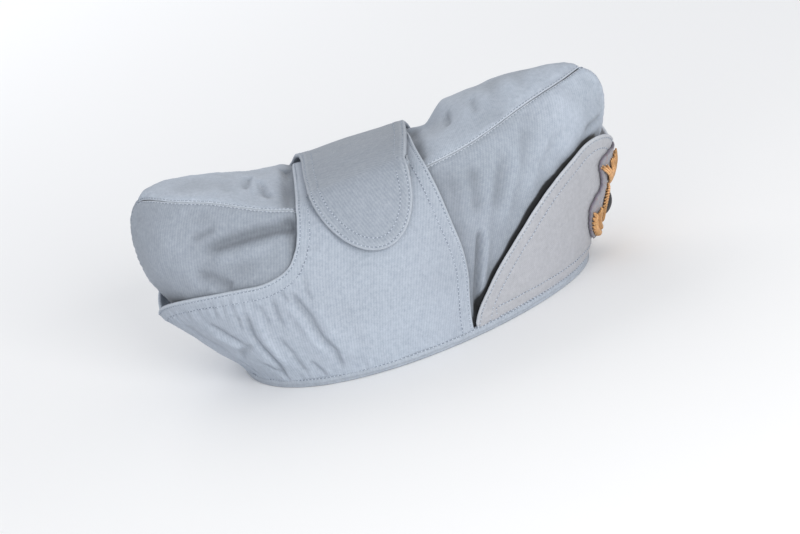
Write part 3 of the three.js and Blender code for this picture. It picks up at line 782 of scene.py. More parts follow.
def bullion(name, dark, mid, bright):
    """Coiled metal thread: each fine turn round a strand painted bright and dark as light and shade, and
    tarnish in patches.
    """
    made = Finish(name, Metallic=0.75, Roughness=0.4)
    chart = made.node("ShaderNodeUVMap", uv_map="cloth")
    run = made.node("ShaderNodeSeparateXYZ", (chart,))
    turns = (run * (2 * math.pi / BULLION_PITCH)).sine()
    place = made.object_place()
    patches = made.noise(place, scale=260.0, detail=3.0)
    fine = made.noise(place, scale=1500.0)
    # Painted light and shade: each turn of the coil paler on top and darker between
    base = made.blend((0.5 + turns * 0.3 + (fine - 0.5) * 0.6).clipped(), dark, bright)
    made.shade("Base Color", made.blend(((patches - 0.42) * 3.0).clipped(), mid, base))
    made.shade("Roughness", 0.32 + patches * 0.3)
    made.shade("Normal", made.bump(turns + fine, distance=0.00012, strength=0.9))
    return made.material


def velvet(name, dark, light):
    """Black pile cloth: short fibres that catch the light at the rim."""
    made = Finish(name, Roughness=0.6, Sheen_Weight=0.12, Sheen_Roughness=0.3)
    pile = made.noise(made.object_place(), scale=1400.0, detail=3.0, roughness=0.7)
    made.shade("Base Color", made.blend(pile, dark, light))
    made.shade("Normal", made.bump(pile, distance=0.0002, strength=0.8))
    return made.material


def metal(name, base):
    """Plain metal with a brushed, slightly cloudy surface."""
    made = Finish(name, Metallic=1.0, Base_Color=base)
    cloud = made.noise(made.object_place(), scale=300.0, detail=3.0)
    made.shade("Roughness", 0.3 + cloud * 0.2)
    made.shade("Normal", made.bump(cloud, distance=0.00005, strength=0.5))
    return made.material


def paper(name, base):
    """The pale floor: even, with a hardly visible grain."""
    made = Finish(name, Roughness=0.9)
    grain = made.noise(made.object_place(), scale=40.0)
    made.shade("Base Color", made.blend(grain * 0.1, base, colour(236, 238, 242)))
    return made.material


# Folds on a side of the crown, on its top panel and on a flap. through: the angle and height of
# places on the fold's line. height: how far it stands out, in millimetres, negative for a
# valley. start, end: the shares of the line in which it fades out, FADE where none is given.
FADE = 0.25
CROWN_FOLDS = (
    {
        "through": ((140, 0.79), (133.2, 0.815), (128, 0.85), (122.2, 0.89), (117.2, 0.915), (111.8, 0.935)),
        "height": -4, "width": 3.8, "start": 0.25, "end": 0.05,
    },
    {"through": ((137, 0.735), (131, 0.75), (125, 0.785), (118, 0.83)), "height": 1.8, "width": 4.4},
    {"through": ((141.5, 0.855), (137.8, 0.865), (132, 0.905)), "height": -1.7, "width": 2.6},
    {
        "through": ((145, 0.672), (139.5, 0.65), (136.2, 0.615), (134.5, 0.585)),
        "height": -2.4, "width": 3.4, "start": 0.3, "end": 0.05,
    },
    {"through": ((142, 0.6), (137.5, 0.575), (135, 0.55)), "height": 1.4, "width": 3.2},
    {"through": ((147, 0.7), (134, 0.7), (124, 0.73), (114, 0.82)), "height": -1.2, "width": 8},
    {
        "through": ((113.5, 0.98), (113, 0.85), (114.5, 0.7)),
        "height": -2.2, "width": 4, "start": 0.05, "end": 0.3,
    },
    {"through": ((66.5, 0.93), (67, 0.79), (68, 0.62)), "height": -1.7, "width": 3.4},
    {"through": ((47.5, 0.93), (50, 0.85), (53, 0.72)), "height": -1.4, "width": 4},
    {"through": ((56.2, 0.92), (59.2, 0.77), (62.5, 0.58)), "height": -1.7, "width": 3.8},
    {"through": ((52, 0.88), (56, 0.7), (62, 0.46)), "height": 1.5, "width": 4.6},
    {"through": ((62, 0.88), (64.5, 0.66), (68.5, 0.4)), "height": 1.3, "width": 4.2},
    {"through": ((40, 0.88), (46, 0.72), (54, 0.54)), "height": 1.2, "width": 5},
    {
        "through": ((68.3, 0.55), (68.6, 0.5), (70, 0.35), (72, 0.14), (73, 0.05)),
        "height": -3.6, "width": 1.5, "start": 0.12, "end": 0.1,
    },
    {"through": ((66, 0.5), (67.6, 0.34), (70.2, 0.16)), "height": 1.7, "width": 2.6},
    {"through": ((72, 0.95), (73, 0.75), (73.5, 0.5)), "height": -1.5, "width": 4},
    {
        "through": ((25, 0.7), (18, 0.705), (12.8, 0.71), (5, 0.7)),
        "height": -2.2, "width": 2.3, "start": 0.3, "end": 0.2,
    },
    {
        "through": ((0, 0.56), (12, 0.595), (25, 0.6), (40, 0.53)),
        "height": -2.6, "width": 6, "start": 0.02, "end": 0.2,
    },
    {"through": ((30, 0.8), (40, 0.76), (48, 0.66)), "height": -0.9, "width": 4},
)
TOP_FOLDS = (
    {"through": ((120.5, 2.31), (121.5, 1.93), (122.5, 1.62)), "height": -2.3, "width": 2.1},
    {"through": ((118, 1.97), (117.8, 1.69), (117.5, 1.51), (115.5, 1.32)), "height": -2.5, "width": 2.3},
    {"through": ((119.6, 2.2), (119.7, 1.8), (119.7, 1.5)), "height": 1.2, "width": 2.4},
    {"through": ((127, 2.2), (128, 1.8), (128, 1.4)), "height": -0.9, "width": 4},
    {
        "through": ((110.5, 2.6), (111, 2), (111.5, 1.5), (112.5, 1.02)),
        "height": -3, "width": 3.6, "start": 0.05, "end": 0.05,
    },
    {"through": ((67.8, 1.95), (68, 1.7), (68.2, 1.5)), "height": -2, "width": 2},
    {"through": ((59.5, 1.85), (59.8, 1.6), (60, 1.4)), "height": -1.6, "width": 2.2},
    {
        "through": ((77, 2.6), (77.2, 1.94), (77.8, 1.5), (78, 1.1)),
        "height": -2.6, "width": 4, "start": 0.05, "end": 0.05,
    },
    {"through": ((52, 2.4), (53, 1.8), (54, 1.3)), "height": -0.9, "width": 4},
    {"through": ((40, 2.4), (42, 1.8), (43, 1.3)), "height": -0.8, "width": 4},
    {"through": ((46, 2.3), (47, 1.8), (48, 1.4)), "height": 0.7, "width": 4},
)
FLAP_FOLDS = (
    {
        "through": (
            (119.3, 0.56), (118.4, 0.47), (117.5, 0.403), (117.5, 0.257), (116.2, 0.159), (117.5, 0.026),
        ),
        "height": -2.1, "width": 1.9, "start": 0.12, "end": 0.1,
    },
    {"through": ((122.5, 0.5), (120.8, 0.4), (120.2, 0.26), (119, 0.14)), "height": 1.2, "width": 2.5},
    {"through": ((115, 0.47), (114.4, 0.36), (114, 0.22)), "height": 0.8, "width": 2.6},
    {
        "through": ((133.8, 0.46), (137, 0.302), (137.3, 0.202), (137, 0.124), (139.5, 0.029)),
        "height": -2.1, "width": 1.9, "start": 0.15, "end": 0.1,
    },
    {"through": ((131, 0.44), (133.6, 0.3), (133.8, 0.18), (134, 0.08)), "height": 1.2, "width": 2.6},
    {"through": ((121.5, 0.57), (121.2, 0.49)), "height": -1.3, "width": 1.4, "start": 0.2, "end": 0.4},
    {"through": ((114, 0.65), (115.2, 0.546), (115, 0.48)), "height": -1.1, "width": 1.5},
    {
        "through": ((125.5, 0.124), (125.2, 0.049), (125, 0.01)),
        "height": -1.5, "width": 1.6, "start": 0.3, "end": 0.02,
    },
    {
        "through": ((156, 0.15), (155, 0.06), (155, 0.01)),
        "height": -1.5, "width": 1.8, "start": 0.3, "end": 0.02,
    },
    {"through": ((150.5, 0.4), (146.8, 0.351), (144.2, 0.306), (142, 0.24)), "height": -1.6, "width": 2},
    {"through": ((152, 0.34), (148, 0.29), (145, 0.23)), "height": 1, "width": 2.4},
    {
        "through": ((124.6, 0.53), (125.8, 0.432), (126.5, 0.32)),
        "height": -1.5, "width": 1.6, "start": 0.2, "end": 0.4,
    },
    {"through": ((136.8, 0.44), (139.2, 0.34)), "height": -1.1, "width": 1.6, "start": 0.2, "end": 0.4},
    {"through": ((138.8, 0.263), (145.5, 0.218), (152, 0.15)), "height": -1.6, "width": 2.1},
    {
        "through": ((129, 0.5), (129.5, 0.42), (130, 0.34)),
        "height": -1.1, "width": 1.6, "start": 0.2, "end": 0.4,
    },
    {
        "through": ((130, 0.3), (129, 0.18), (130.5, 0.05)),
        "height": -1.3, "width": 2, "start": 0.3, "end": 0.05,
    },
    {"through": ((108, 0.5), (107.5, 0.3), (108, 0.08)), "height": -0.5, "width": 3},
    {"through": ((162, 0.42), (158, 0.3), (152, 0.18)), "height": -1.1, "width": 3},
    {
        "through": ((143, 0.14), (140.5, 0.07), (139, 0.01)),
        "height": -1.3, "width": 1.7, "start": 0.3, "end": 0.02,
    },
)


# Rough length of a degree on the crown, in millimetres
MM_PER_DEGREE = 2.0


def beyond_flap(angle, height):
    """Rough distance from the flap that lies over the crown, in millimetres and negative under
    it: from the wing by the height over its upper edge, or from the tab by the angle."""
    low = np.where(height > 2, 4 - height, height)
    first = FLAP_TOP_EDGE["angle"][0]
    front = along(FLAP_FRONT_EDGE, "height", "angle", low)
    rear = along(TAB_REAR_EDGE, "height", "angle", np.maximum(low, TAB_REAR_EDGE["height"][0]))
    over = (low - along(FLAP_TOP_EDGE, "angle", "height", np.clip(angle, first, 180))) * CLOTH_PER_HEIGHT
    wing = np.maximum(over, (first - angle) * MM_PER_DEGREE)
    tab = np.maximum(front - angle, angle - rear) * MM_PER_DEGREE
    return np.minimum(wing, tab)


def crease_painted_shade(relief):
    """Painted light and shade: a little paler on a ridge, darker in a crease and darkest deep in one."""
    ridge = CREASE_PAINTED_SHADE["ridge"] * np.clip(relief, 0, CREASE_PAINTED_SHADE["reach"])
    valley = CREASE_PAINTED_SHADE["valley"] * np.clip(-relief, 0, CREASE_PAINTED_SHADE["reach"])
    below = np.clip(-relief - CREASE_PAINTED_SHADE["deep_from"], 0, CREASE_PAINTED_SHADE["deep_reach"])
    return 1 + ridge - valley - CREASE_PAINTED_SHADE["deep"] * below


TUCK = {"depth": 1.5, "height": 7}


def tucked(face):
    """Draws the foot of a wall down behind the band."""
    up = face[..., 2] - WALL_FOOT
    face[..., 2] -= TUCK["depth"] * (1 - smooth(0, TUCK["height"], up))
    return face


# Short ripples and a soft swelling beside a seam, how deep the crown is pressed in under a
# flap, and how far from a seam its folds begin
SEAM_PULL = {"height": 0.14, "length": 6, "stretch": (1, 1, 0.5), "place": 4, "width": 4}
SEAM_SWELLING = {"height": 0.45, "full": 2.5, "fading": 3, "none": 12}
UNDER_FLAP = {"sunk": 0.9, "from": 0.5, "to": 5}
FLAT_BESIDE_SEAM = 7


def crown_relief(points, angle, height, seam, table, seed, share=1.0, flip=1):
    """How far the crown stands off its smooth form: folds and slow and quick ripples, none of
    them at a seam, a soft swelling beside the seam, and a little room under the flaps."""
    cover = smooth(UNDER_FLAP["from"], UNDER_FLAP["to"], -beyond_flap(angle, height))
    away = smooth(0, FLAT_BESIDE_SEAM, seam)
    wave = uneven(points, CROWN_RIPPLES, seed)
    short = ripples(points, SEAM_PULL["length"], seed + 2, SEAM_PULL["stretch"])
    pulled = SEAM_PULL["height"] * short * bell(seam, SEAM_PULL["place"], SEAM_PULL["width"])
    ending = 1 - smooth(SEAM_SWELLING["fading"], SEAM_SWELLING["none"], seam)
    swelling = SEAM_SWELLING["height"] * smooth(0, SEAM_SWELLING["full"], seam) * ending
    total = folds(points, table, lambda a, h: crown_point(a, h, flip)) * share + wave
    return (total * away + pulled + swelling) * (1 - cover) - UNDER_FLAP["sunk"] * cover * away


def seam_relief(distance):
    """The groove of a row of stitches beside a seam."""
    return -GROOVE["depth"] * bell(distance, SEAM_ROW, GROOVE["width"])


def line_length(points, axis):
    """Length along a grid's lines from their start."""
    steps = np.linalg.norm(np.diff(points, axis=axis), axis=-1)
    start = np.zeros_like(np.take(steps, [0], axis))
    return np.concatenate([start, np.cumsum(steps, axis=axis)], axis)


def crown_side(seed, share, flip):
    """A side panel, worked out on the right: one grid from the front to the back and from
    the rim to the seam."""
    angle = 180 * fine_ended(count=290, length=330)[:, None]
    height = fine_ended(count=84, length=118)[None, :]
    angle, height = np.broadcast_arrays(angle, height)
    face = crown_point(angle, height, flip)
    up, round_ = line_length(face, 1), line_length(face, 0)
    seam = up[:, -1:] - up
    ends = np.minimum(round_, round_[-1:] - round_)
    near = np.minimum(seam, ends)
    relief = crown_relief(face, angle, height, near, CROWN_FOLDS, seed, share, flip)
    out = crown_out(angle, height, flip=flip)
    face = face + grid_normals(face, out) * relief[..., None]
    face[..., 1] = np.minimum(face[..., 1], 0)
    edge = np.minimum(near, up)
    # Painted light and shade: paler at the front, darker on the side and back, in creases, by a flap's edge
    # and in the seam's fold, and a painted shadow behind the peak
    shade = graded(CROWN_PAINTED_SHADE, angle) * crown_painted_shade(angle, height, relief, seam)
    layers = {"shade": shade * (1 - SHADOW_DEPTH * behind_peak(face)), "wear": seam_wear(near)}
    cloth = Cloth(face, out, CROWN_WALL, edge, seam_relief(near), cloth_map(angle, height), layers)
    return cloth, seam, ends


def crown_painted_shade(angle, height, relief, seam):
    """Painted shade in creases and in the seam's fold, painted light on ridges, and a painted shadow by a
    flap's edge.
    """
    beside = np.exp(-np.maximum(beyond_flap(angle, height), 0) / FLAP_EDGE_PAINTED_SHADOW["reach"])
    fold = 1 - SEAM_FOLD_PAINTED_SHADE["shade"] * bell(seam, 0, SEAM_FOLD_PAINTED_SHADE["width"])
    return crease_painted_shade(relief) * (1 - FLAP_EDGE_PAINTED_SHADOW["shade"] * beside) * fold


def seam_wear(distance):
    """The ridge beside a seam is worn pale."""
    return SEAM_WEAR["share"] * bell(distance, SEAM_WEAR["place"], SEAM_WEAR["width"])


# The shadow behind the peak: how far below the peak's free edge it ends, by angle
PEAK_SHADOW = {
    "angle": (0, 22, 32, 40, 52, 57, 62, 67, 72, 75),
    "below": (2.0, 2.2, 1.9, 0.7, 0.3, 0.5, 0.8, 0.3, -1.0, -1.6),
}
SHADOW_EDGE = 0.6
SHADOW_DEPTH = 0.95


def behind_peak(face):
    """1 where the crown lies in the shadow behind the peak, and 0 beyond. A place is measured
    from the nearest one on the peak's free edge, along the peak's own surface, and the shadow
    ends as far below the edge as the table says."""
    angle = np.linspace(0, PEAK_EDGE["angle"][-1], 120)
    slant = along(PEAK_EDGE, "angle", "slant", angle)
    line = peak_point(angle, slant, 0)
    outward = peak_point(angle, slant, 1) - line
    onward = unit(np.cross(outward, unit(np.gradient(line, axis=0))))
    onward *= np.sign(onward[:, 2:])
    reach = np.concatenate([[0], np.cumsum(np.linalg.norm(np.diff(line, axis=0), axis=-1))])
    place = distance_to(face, line)[1] * reach[-1]
    nearest, onward = (
        np.stack([np.interp(place, reach, values[:, k]) for k in range(3)], -1) for values in (line, onward)
    )
    beyond = ((face - nearest) * onward).sum(-1)
    beyond += np.interp(place, reach, along(PEAK_SHADOW, "angle", "below", angle))
    return 1 - smooth(-SHADOW_EDGE, SHADOW_EDGE, beyond)


# Degrees from the front and from the back at which the top panel's narrow ends lie
TOP_PANEL_START = 5


def crown_top():
    """The top panel: across from the right seam to the left one, from the front to the back."""
    angle = TOP_PANEL_START + (180 - 2 * TOP_PANEL_START) * fine_ended(count=190, length=265)[:, None]
    half = -crown_point(angle, 1)[..., 1]
    height = 1 + 2 * fine_ended(count=64, length=2 * half[:, 0])
    angle = np.broadcast_to(angle, height.shape)
    face = crown_point(angle, height)
    across, run = line_length(face, 1), line_length(face, 0)
    right, left = across, across[:, -1:] - across
    ends = np.minimum(run, run[-1:] - run)
    seam = np.minimum(right, left)
    edge = np.minimum(seam, ends)
    relief = crown_relief(face, angle, height, edge, TOP_FOLDS, SEEDS["crown_top"])
    up = np.array([0, 0, 1.0])
    face = face + grid_normals(face, up) * relief[..., None]
    # Painted shade in creases, by a flap's edge and in the seams' folds, and painted light towards the back
    shade = crown_painted_shade(angle, height, relief, seam) * graded(TOP_PAINTED_LIGHT, angle)
    layers = {"shade": shade, "wear": seam_wear(seam)}
    cloth = Cloth(face, up, CROWN_WALL, edge, seam_relief(seam), cloth_map(angle, height), layers)
    return cloth, right, left


# How much farther a flap stands off above the rim and where it bends round the seam
STAND_OFF = {"foot": 0.8, "bend": 1.2}


def wing_lift(angle, height):
    """How far a flap's inner face stands off the crown: the gap, a little more above the rim
    and where it bends round the seam, and a leaning tip at the back of the head."""
    tip = FLAP_TOP_EDGE["height"][-1]
    prow = bell(angle, 180, PROW["spread"]) * np.minimum(height / tip, 1) ** PROW["power"]
    bend = smooth(0.7, 0.92, height) * (1 - smooth(1.1, 1.4, height))
    foot = smooth(0, 0.2, height)
    return GAP + STAND_OFF["foot"] * foot + STAND_OFF["bend"] * bend + PROW["reach"] * prow


OVER_TAB = FLAP_WALL + 2.4
OVER_SNAP = FLAP_WALL + 3.5
NEAR_BEND = {"rise": 1.2, "height": 2.95, "spread": 0.13}


def tongue_lift(angle, height):
    """The left flap lies over the right flap's tab from the seam on, stands off a little more
    where it bends round the near seam, and lies over the snap."""
    own = wing_lift(angle, height)
    raised = mix(own, OVER_TAB, smooth(0.55, 0.95, height))
    bend = NEAR_BEND["rise"] * bell(height, NEAR_BEND["height"], NEAR_BEND["spread"])
    return raised + (OVER_SNAP - OVER_TAB) * smooth(2.5, 3, height) + bend


def sheet_point(angle, height, lift, flip=1):
    """A sheet over the crown: the mean of the crown over a little height, moved out by lift."""
    ease = smooth(0, 0.2, height)
    near = [crown_point(angle, np.maximum(height + step * ease, 0), flip) for step in SHEET_SPREAD]
    out = crown_out(angle, height, SHEET_REACH, flip)
    return sum(near) / len(near) + out * np.asarray(lift)[..., None], out


def places_on(line, share):
    """Places on a line of angles and heights, by their share of its length of cloth."""
    steps = np.linalg.norm(np.diff(cloth_map(*line.T), axis=0), axis=-1)
    reach = np.concatenate([[0], np.cumsum(steps)])
    return np.stack([np.interp(share * reach[-1], reach, line[:, k]) for k in (0, 1)], -1), reach[-1]


# The angle on the wing's top edge that is joined to the front corner of the flap's foot
FLAP_BEND = 116
FLAP_LINES = {"along": 450, "across": 76}


def flap_grid(rear_edge, end):
    """A bent strip in angle and height. Its lines run from the outer border, which is the rim
    from the back to the front edge and then the front edge, to the inner border, which is the
    wing's top edge and then the tab's rear edge. The end is bowed out as half an ellipse."""
    top = FLAP_TOP_EDGE["height"][0]
    front_foot = FLAP_FRONT_EDGE["angle"][0]
    fine = np.linspace(0, 1, 120)
    heights = (end["height"] + end["slant"]) * fine
    rear_heights = mix(top, end["height"] - end["slant"], fine)[1:]
    wing = mix(180, FLAP_TOP_EDGE["angle"][0], fine)
    foot = np.stack([mix(180, front_foot, fine), 0 * fine], -1)
    front = np.stack([along(FLAP_FRONT_EDGE, "height", "angle", heights), heights], -1)
    wing = np.stack([wing, along(FLAP_TOP_EDGE, "angle", "height", wing)], -1)
    rear = np.stack([along(rear_edge, "height", "angle", rear_heights), rear_heights], -1)
    inner = np.concatenate([wing, rear])
    bend = np.argmax(inner[:, 0] < FLAP_BEND)
    lengths = [places_on(line, 1.0)[1] for line in (foot, front)]
    corner = lengths[0] / sum(lengths)
    share = fine_ended(FLAP_LINES["along"], sum(lengths))
    first, second = np.clip(share / corner, 0, 1), np.clip((share - corner) / (1 - corner), 0, 1)
    before = (share < corner)[:, None]
    outer_side = np.where(before, places_on(foot, first)[0], places_on(front, second)[0])
    inner_side = np.where(before, places_on(inner[: bend + 1], first)[0], places_on(inner[bend:], second)[0])
    width = np.linalg.norm(cloth_map(*outer_side.T) - cloth_map(*inner_side.T), axis=-1)
    across = fine_ended(FLAP_LINES["across"], width)
    rounded = (np.sin((np.linspace(0, 1, across.shape[1]) - 0.5) * np.pi) + 1) / 2
    up = np.clip((outer_side[:, 1] - top) / (end["height"] - top), 0, 1)[:, None]
    if end["depth"]:
        across = mix(across, rounded, smooth(0.3, 0.8, up))
    bow = end["depth"] * np.sqrt(1 - (2 * across - 1) ** 2) * up
    height = mix(outer_side[:, 1:], inner_side[:, 1:], across) + bow
    plain = mix(outer_side[:, :1], inner_side[:, :1], across)
    edges = [along(t, "height", "angle", np.maximum(height, top)) for t in (FLAP_FRONT_EDGE, rear_edge)]
    angle = mix(plain, mix(*edges, across), smooth(STRAP["from"], STRAP["to"], height))
    return angle, height, int(np.argmin(before))


def hem_relief(distance, rows):
    """A folded hem: thicker as far as its inner row of stitches, with a groove at each row."""
    thicker = HEM["pad"] * (1 - smooth(rows[1] - 0.2, rows[1] + 0.6, distance))
    thicker = thicker + HEM["fold"] * bell(distance, HEM["place"], HEM["width"])
    return thicker - HEM["groove"] * sum(bell(distance, row, GROOVE["width"]) for row in rows)


def puckers(distance, place, row, seed):
    """Short gathers across a row of stitches: waves along it that die out to both sides."""
    rng = np.random.default_rng(seed)
    lengths = rng.uniform(GATHER["shortest"], GATHER["longest"], GATHER["waves"])
    phases = rng.uniform(0, 2 * np.pi, GATHER["waves"])
    wave = np.sin(place[..., None] * (2 * np.pi / lengths) + phases).sum(-1) / math.sqrt(GATHER["waves"])
    return wave * bell(distance, row, GATHER["width"]) * smooth(0, 2, distance)


def flap(lift, rear_edge, end, seed, share, strap_shade, flip):
    """A folded-up flap, worked out on the right. Gathers hang from its hem and stand on its
    foot, and folds run down the wing."""
    angle, height, corner = flap_grid(rear_edge, end)
    rows = TONGUE_ROWS if end["depth"] else HEM_ROWS
    on_tongue = smooth(STRAP["from"], STRAP["to"], height) if end["depth"] else 0 * height
    wall = mix(FLAP_WALL, TONGUE_WALL, on_tongue)
    inner, out = sheet_point(angle, height, lift(angle, height), flip)
    face = inner + out * wall[..., None]
    count, last = face.shape[0], face.shape[1] - 1
    border = (
        np.concatenate([np.arange(corner, count), np.full(last - 1, count - 1), np.arange(count)[::-1]]),
        np.concatenate([np.zeros(count - corner, int), np.arange(1, last), np.full(count, last)]),
    )
    hem_line = face[border]
    foot_line = np.concatenate([face[corner::-1, 0], face[0, 1:]])
    hem, hem_place = distance_to(face, hem_line)
    foot, foot_place = distance_to(face, foot_line)
    hem_length = np.linalg.norm(np.diff(hem_line, axis=0), axis=-1).sum()
    foot_length = np.linalg.norm(np.diff(foot_line, axis=0), axis=-1).sum()
    wing = 1 - smooth(0.75, 1.0, height)
    low = wing * smooth(HEM_ROWS[1] - 3, HEM_ROWS[1] + 4, hem) * smooth(0, 6, foot)

    def surface(a, h):
        middle, away = sheet_point(a, h, lift(a, h), flip)
        return middle + away * FLAP_WALL

    creases = folds(face, FLAP_FOLDS, surface) * share * low
    relief = creases + uneven(face, FLAP_RIPPLES, seed) * smooth(0, 8, hem) * wing
    on_strap = STRAP_RIPPLE["height"] * ripples(face, STRAP_RIPPLE["length"], seed + 3)
    relief += on_strap * (1 - wing) * smooth(0, 6, hem)
    hem_gather = puckers(hem, hem_place * hem_length, HEM_ROWS[1] + 2, seed + 2)
    foot_gather = puckers(foot, foot_place * foot_length, 2, seed + 4)
    relief += GATHER["hem"] * hem_gather * wing * smooth(78, 92, angle)
    relief += GATHER["foot"] * foot_gather * wing * smooth(80, 95, angle)
    face = face + grid_normals(face, out) * relief[..., None]
    face[..., 1] = np.where(height < 1, np.minimum(face[..., 1], 0), face[..., 1])
    face = tucked(face)
    # Painted shade over the wing, the front and in creases, painted light at the foot and on ridges, and the
    # strap's shade, on the tongue partly a darker face of the cloth
    shade = mix(FLAP_PAINTED_SHADE, graded(strap_shade, height), smooth(1.0, 1.5, height))
    shade = shade * crease_painted_shade(creases) * graded(FLAP_FOOT_PAINTED_LIGHT, height) * graded(FLAP_FRONT_PAINTED_SHADE, angle)
    wear = HEM_WEAR["share"] * bell(hem, HEM_WEAR["place"], HEM_WEAR["width"])
    wear += ROW_WEAR["share"] * bell(hem, rows[0] + ROW_WEAR["place"], ROW_WEAR["width"])
    cloth = Cloth(
        face, out, wall, np.minimum(hem, foot), hem_relief(hem, rows),
        cloth_map(angle, height), {"shade": shade, "wear": wear},
    )
    return cloth, border, rows


def peak_cloth():
    """The peak: from its right corner to its left one and from its foot to its free edge."""
    angle = PEAK_EDGE["angle"][-1] * (2 * fine_ended(count=168, length=250) - 1)
    top = along(PEAK_EDGE, "angle", "slant", np.abs(angle))
    slant = top[:, None] * fine_ended(count=52, length=top)
    angle = np.broadcast_to(angle[:, None], slant.shape)
    face = peak_point(angle, slant, 0)
    free_line = face[:, -1]
    free, place = distance_to(face, free_line)
    ends = np.minimum(distance_to(face, face[0])[0], distance_to(face, face[-1])[0])
    foot = line_length(face, 1)
    length = np.linalg.norm(np.diff(free_line, axis=0), axis=-1).sum()
    seed = SEEDS["peak"]
    rows = enumerate(zip(PEAK_RIPPLES["height"], PEAK_RIPPLES["length"]))
    slow, quick = (height * ripples(face, wave, seed + number) for number, (height, wave) in rows)
    relief = slow * smooth(0, 10, foot) + quick
    relief += GATHER["peak"] * puckers(free, place * length, PEAK_ROWS[1], seed + 2)
    guide = peak_point(angle, slant, 1) - face
    face = tucked(face + grid_normals(face, guide) * relief[..., None])
    bead = BEAD["height"] * bell(free, 0, BEAD["width"])
    grooves = sum(bell(free, row, GROOVE["width"]) for row in PEAK_ROWS)
    low_grooves = sum(bell(foot, row, GROOVE["width"]) for row in PEAK_FOOT_ROWS)
    step = HEM["pad"] * (1 - smooth(PEAK_FOOT_ROWS[1] - 0.3, PEAK_FOOT_ROWS[1] + 0.4, foot))
    skin = bead + step - GROOVE["depth"] * (grooves + low_grooves * smooth(2, 5, free))
    edge = np.minimum(np.minimum(free, foot), ends)
    chart = np.stack([girth(np.abs(angle)) * np.sign(angle), slant], -1)
    wear = PEAK_WEAR["share"] * np.exp(-free / PEAK_WEAR["reach"])
    layers = {"shade": np.ones(angle.shape), "wear": wear}
    return Cloth(face, guide, PEAK_WALL, edge, skin, chart, layers), angle, free, foot


def tubes(name, paths, outs, radii, finish, sides=6):
    """Round strands: a ring of points round each place of a path, closed by a cap at each end.
    paths and outs are arrays of strand, place and coordinate, and radii of strand and place."""
    tangent = unit(np.gradient(paths, axis=1))
    side = unit(np.cross(outs, tangent))
    top = np.cross(tangent, side)
    turn = np.arange(sides) * 2 * np.pi / sides
    round_ = np.cos(turn)[:, None] * side[:, :, None] + np.sin(turn)[:, None] * top[:, :, None]
    points = paths[:, :, None] + round_ * radii[:, :, None, None]
    strands, places = radii.shape
    ids = np.arange(places * sides).reshape(places, sides)
    quads = grid_faces(np.concatenate([ids, ids[:, :1]], 1))
    offset = (np.arange(strands) * places * sides)[:, None, None]
    faces = (quads[None, :, ::-1] + offset).reshape(-1, 4).tolist()
    for cap in (ids[0], ids[-1, ::-1]):
        faces += (cap[None] + offset[:, 0]).tolist()
    run = line_length(paths, 1)
    chart = np.stack(np.broadcast_arrays(run[:, :, None], turn[None, None] * radii[:, :, None]), -1)
    return new_piece(name, points.reshape(-1, 3), faces, finish, cloth=chart.reshape(-1, 2))


def badge_point(across, height, lift):
    """A place on the badge, by its distance across the peak and its height up it."""
    per_radian = RIM_HALF_WIDTH * (1 - RIM_EGG) + 0.7 * height
    return peak_point(-np.degrees(across / per_radian), height, lift)


def badge_strands(across, height, lift, radius, taper=0.35):
    """Strands of bullion over the badge: paths, outward directions and radii that shrink
    towards both ends as the root of a sine."""
    paths = badge_point(across, height, lift)
    outs = unit(badge_point(across, height, lift + 1) - paths)
    run = np.linspace(0, 1, across.shape[1])
    swell = taper + (1 - taper) * np.sqrt(np.sin(np.pi * np.clip(run, 0.03, 0.97)))
    return paths, outs, np.broadcast_to(np.asarray(radius, float).reshape(-1, 1), across.shape) * swell


# The patch's outline: its half-width by height. Then the places of the badge's parts on it.
BACKING_LEVELS = {
    "height": (7, 10, 14, 20, 27, 33, 37, 41, 45, 50, 55, 60, 64),
    "half": (7, 17, 23, 28, 30.5, 31, 27, 22.5, 22.5, 26, 29, 29, 21),
}
BADGE_CENTRE = 27
BRANCH_SPREAD = 1.6
RING_SPREAD = 1.25
BADGE_FOOT = 0.35
BADGE_CLOTH = 1.7
THREAD_FOOT = BADGE_FOOT + BADGE_CLOTH - 0.2
PATCH_EDGE_WAVES = {"height": (0.35, 0.25), "turn": (1.7, 3.1), "start": (0, 1)}
PATCH_RIPPLE = {"height": 0.12, "length": 3.5}
PATCH_RIM = {"share": 0.85, "reach": 0.9}
# Strands of the flame, the ring and a branch. arch: how high a strand stands in its middle.
# radius: of a strand. The flame's lost_ values are what its reach loses, by a tongue's number
# squared, for every other tongue, and for a strand beside the middle one.
FLAME = {
    "tongues_beside": 6, "foot": 40.5, "reach": 20.5, "lost_outwards": 0.13, "lost_every_other": 1.8,
    "lost_beside": 1.2, "pitch": 1.1, "spread": 3.5, "strand_pitch": 1.15, "narrowing": 0.7,
    "sway": 1.3, "arch": 2.7, "radius": 1.05,
}
RING = {"strands": 38, "inner": 7.9, "width": 4.0, "slant": 0.38, "arch": 1.9, "radius": 0.82}
BRANCH = {
    "pairs": 8, "stem": 15.3, "first": 14, "sweep": 72, "leaf": 3.0, "lean": 4.4, "apart": 0.5,
    "strand_pitch": 1.25, "arch": 1.9, "radius": 1.0,
}
BOSS = {"radius": 8.6, "sunk": 0.6, "wall": 0.35, "rise": 6.0, "lines": 31}


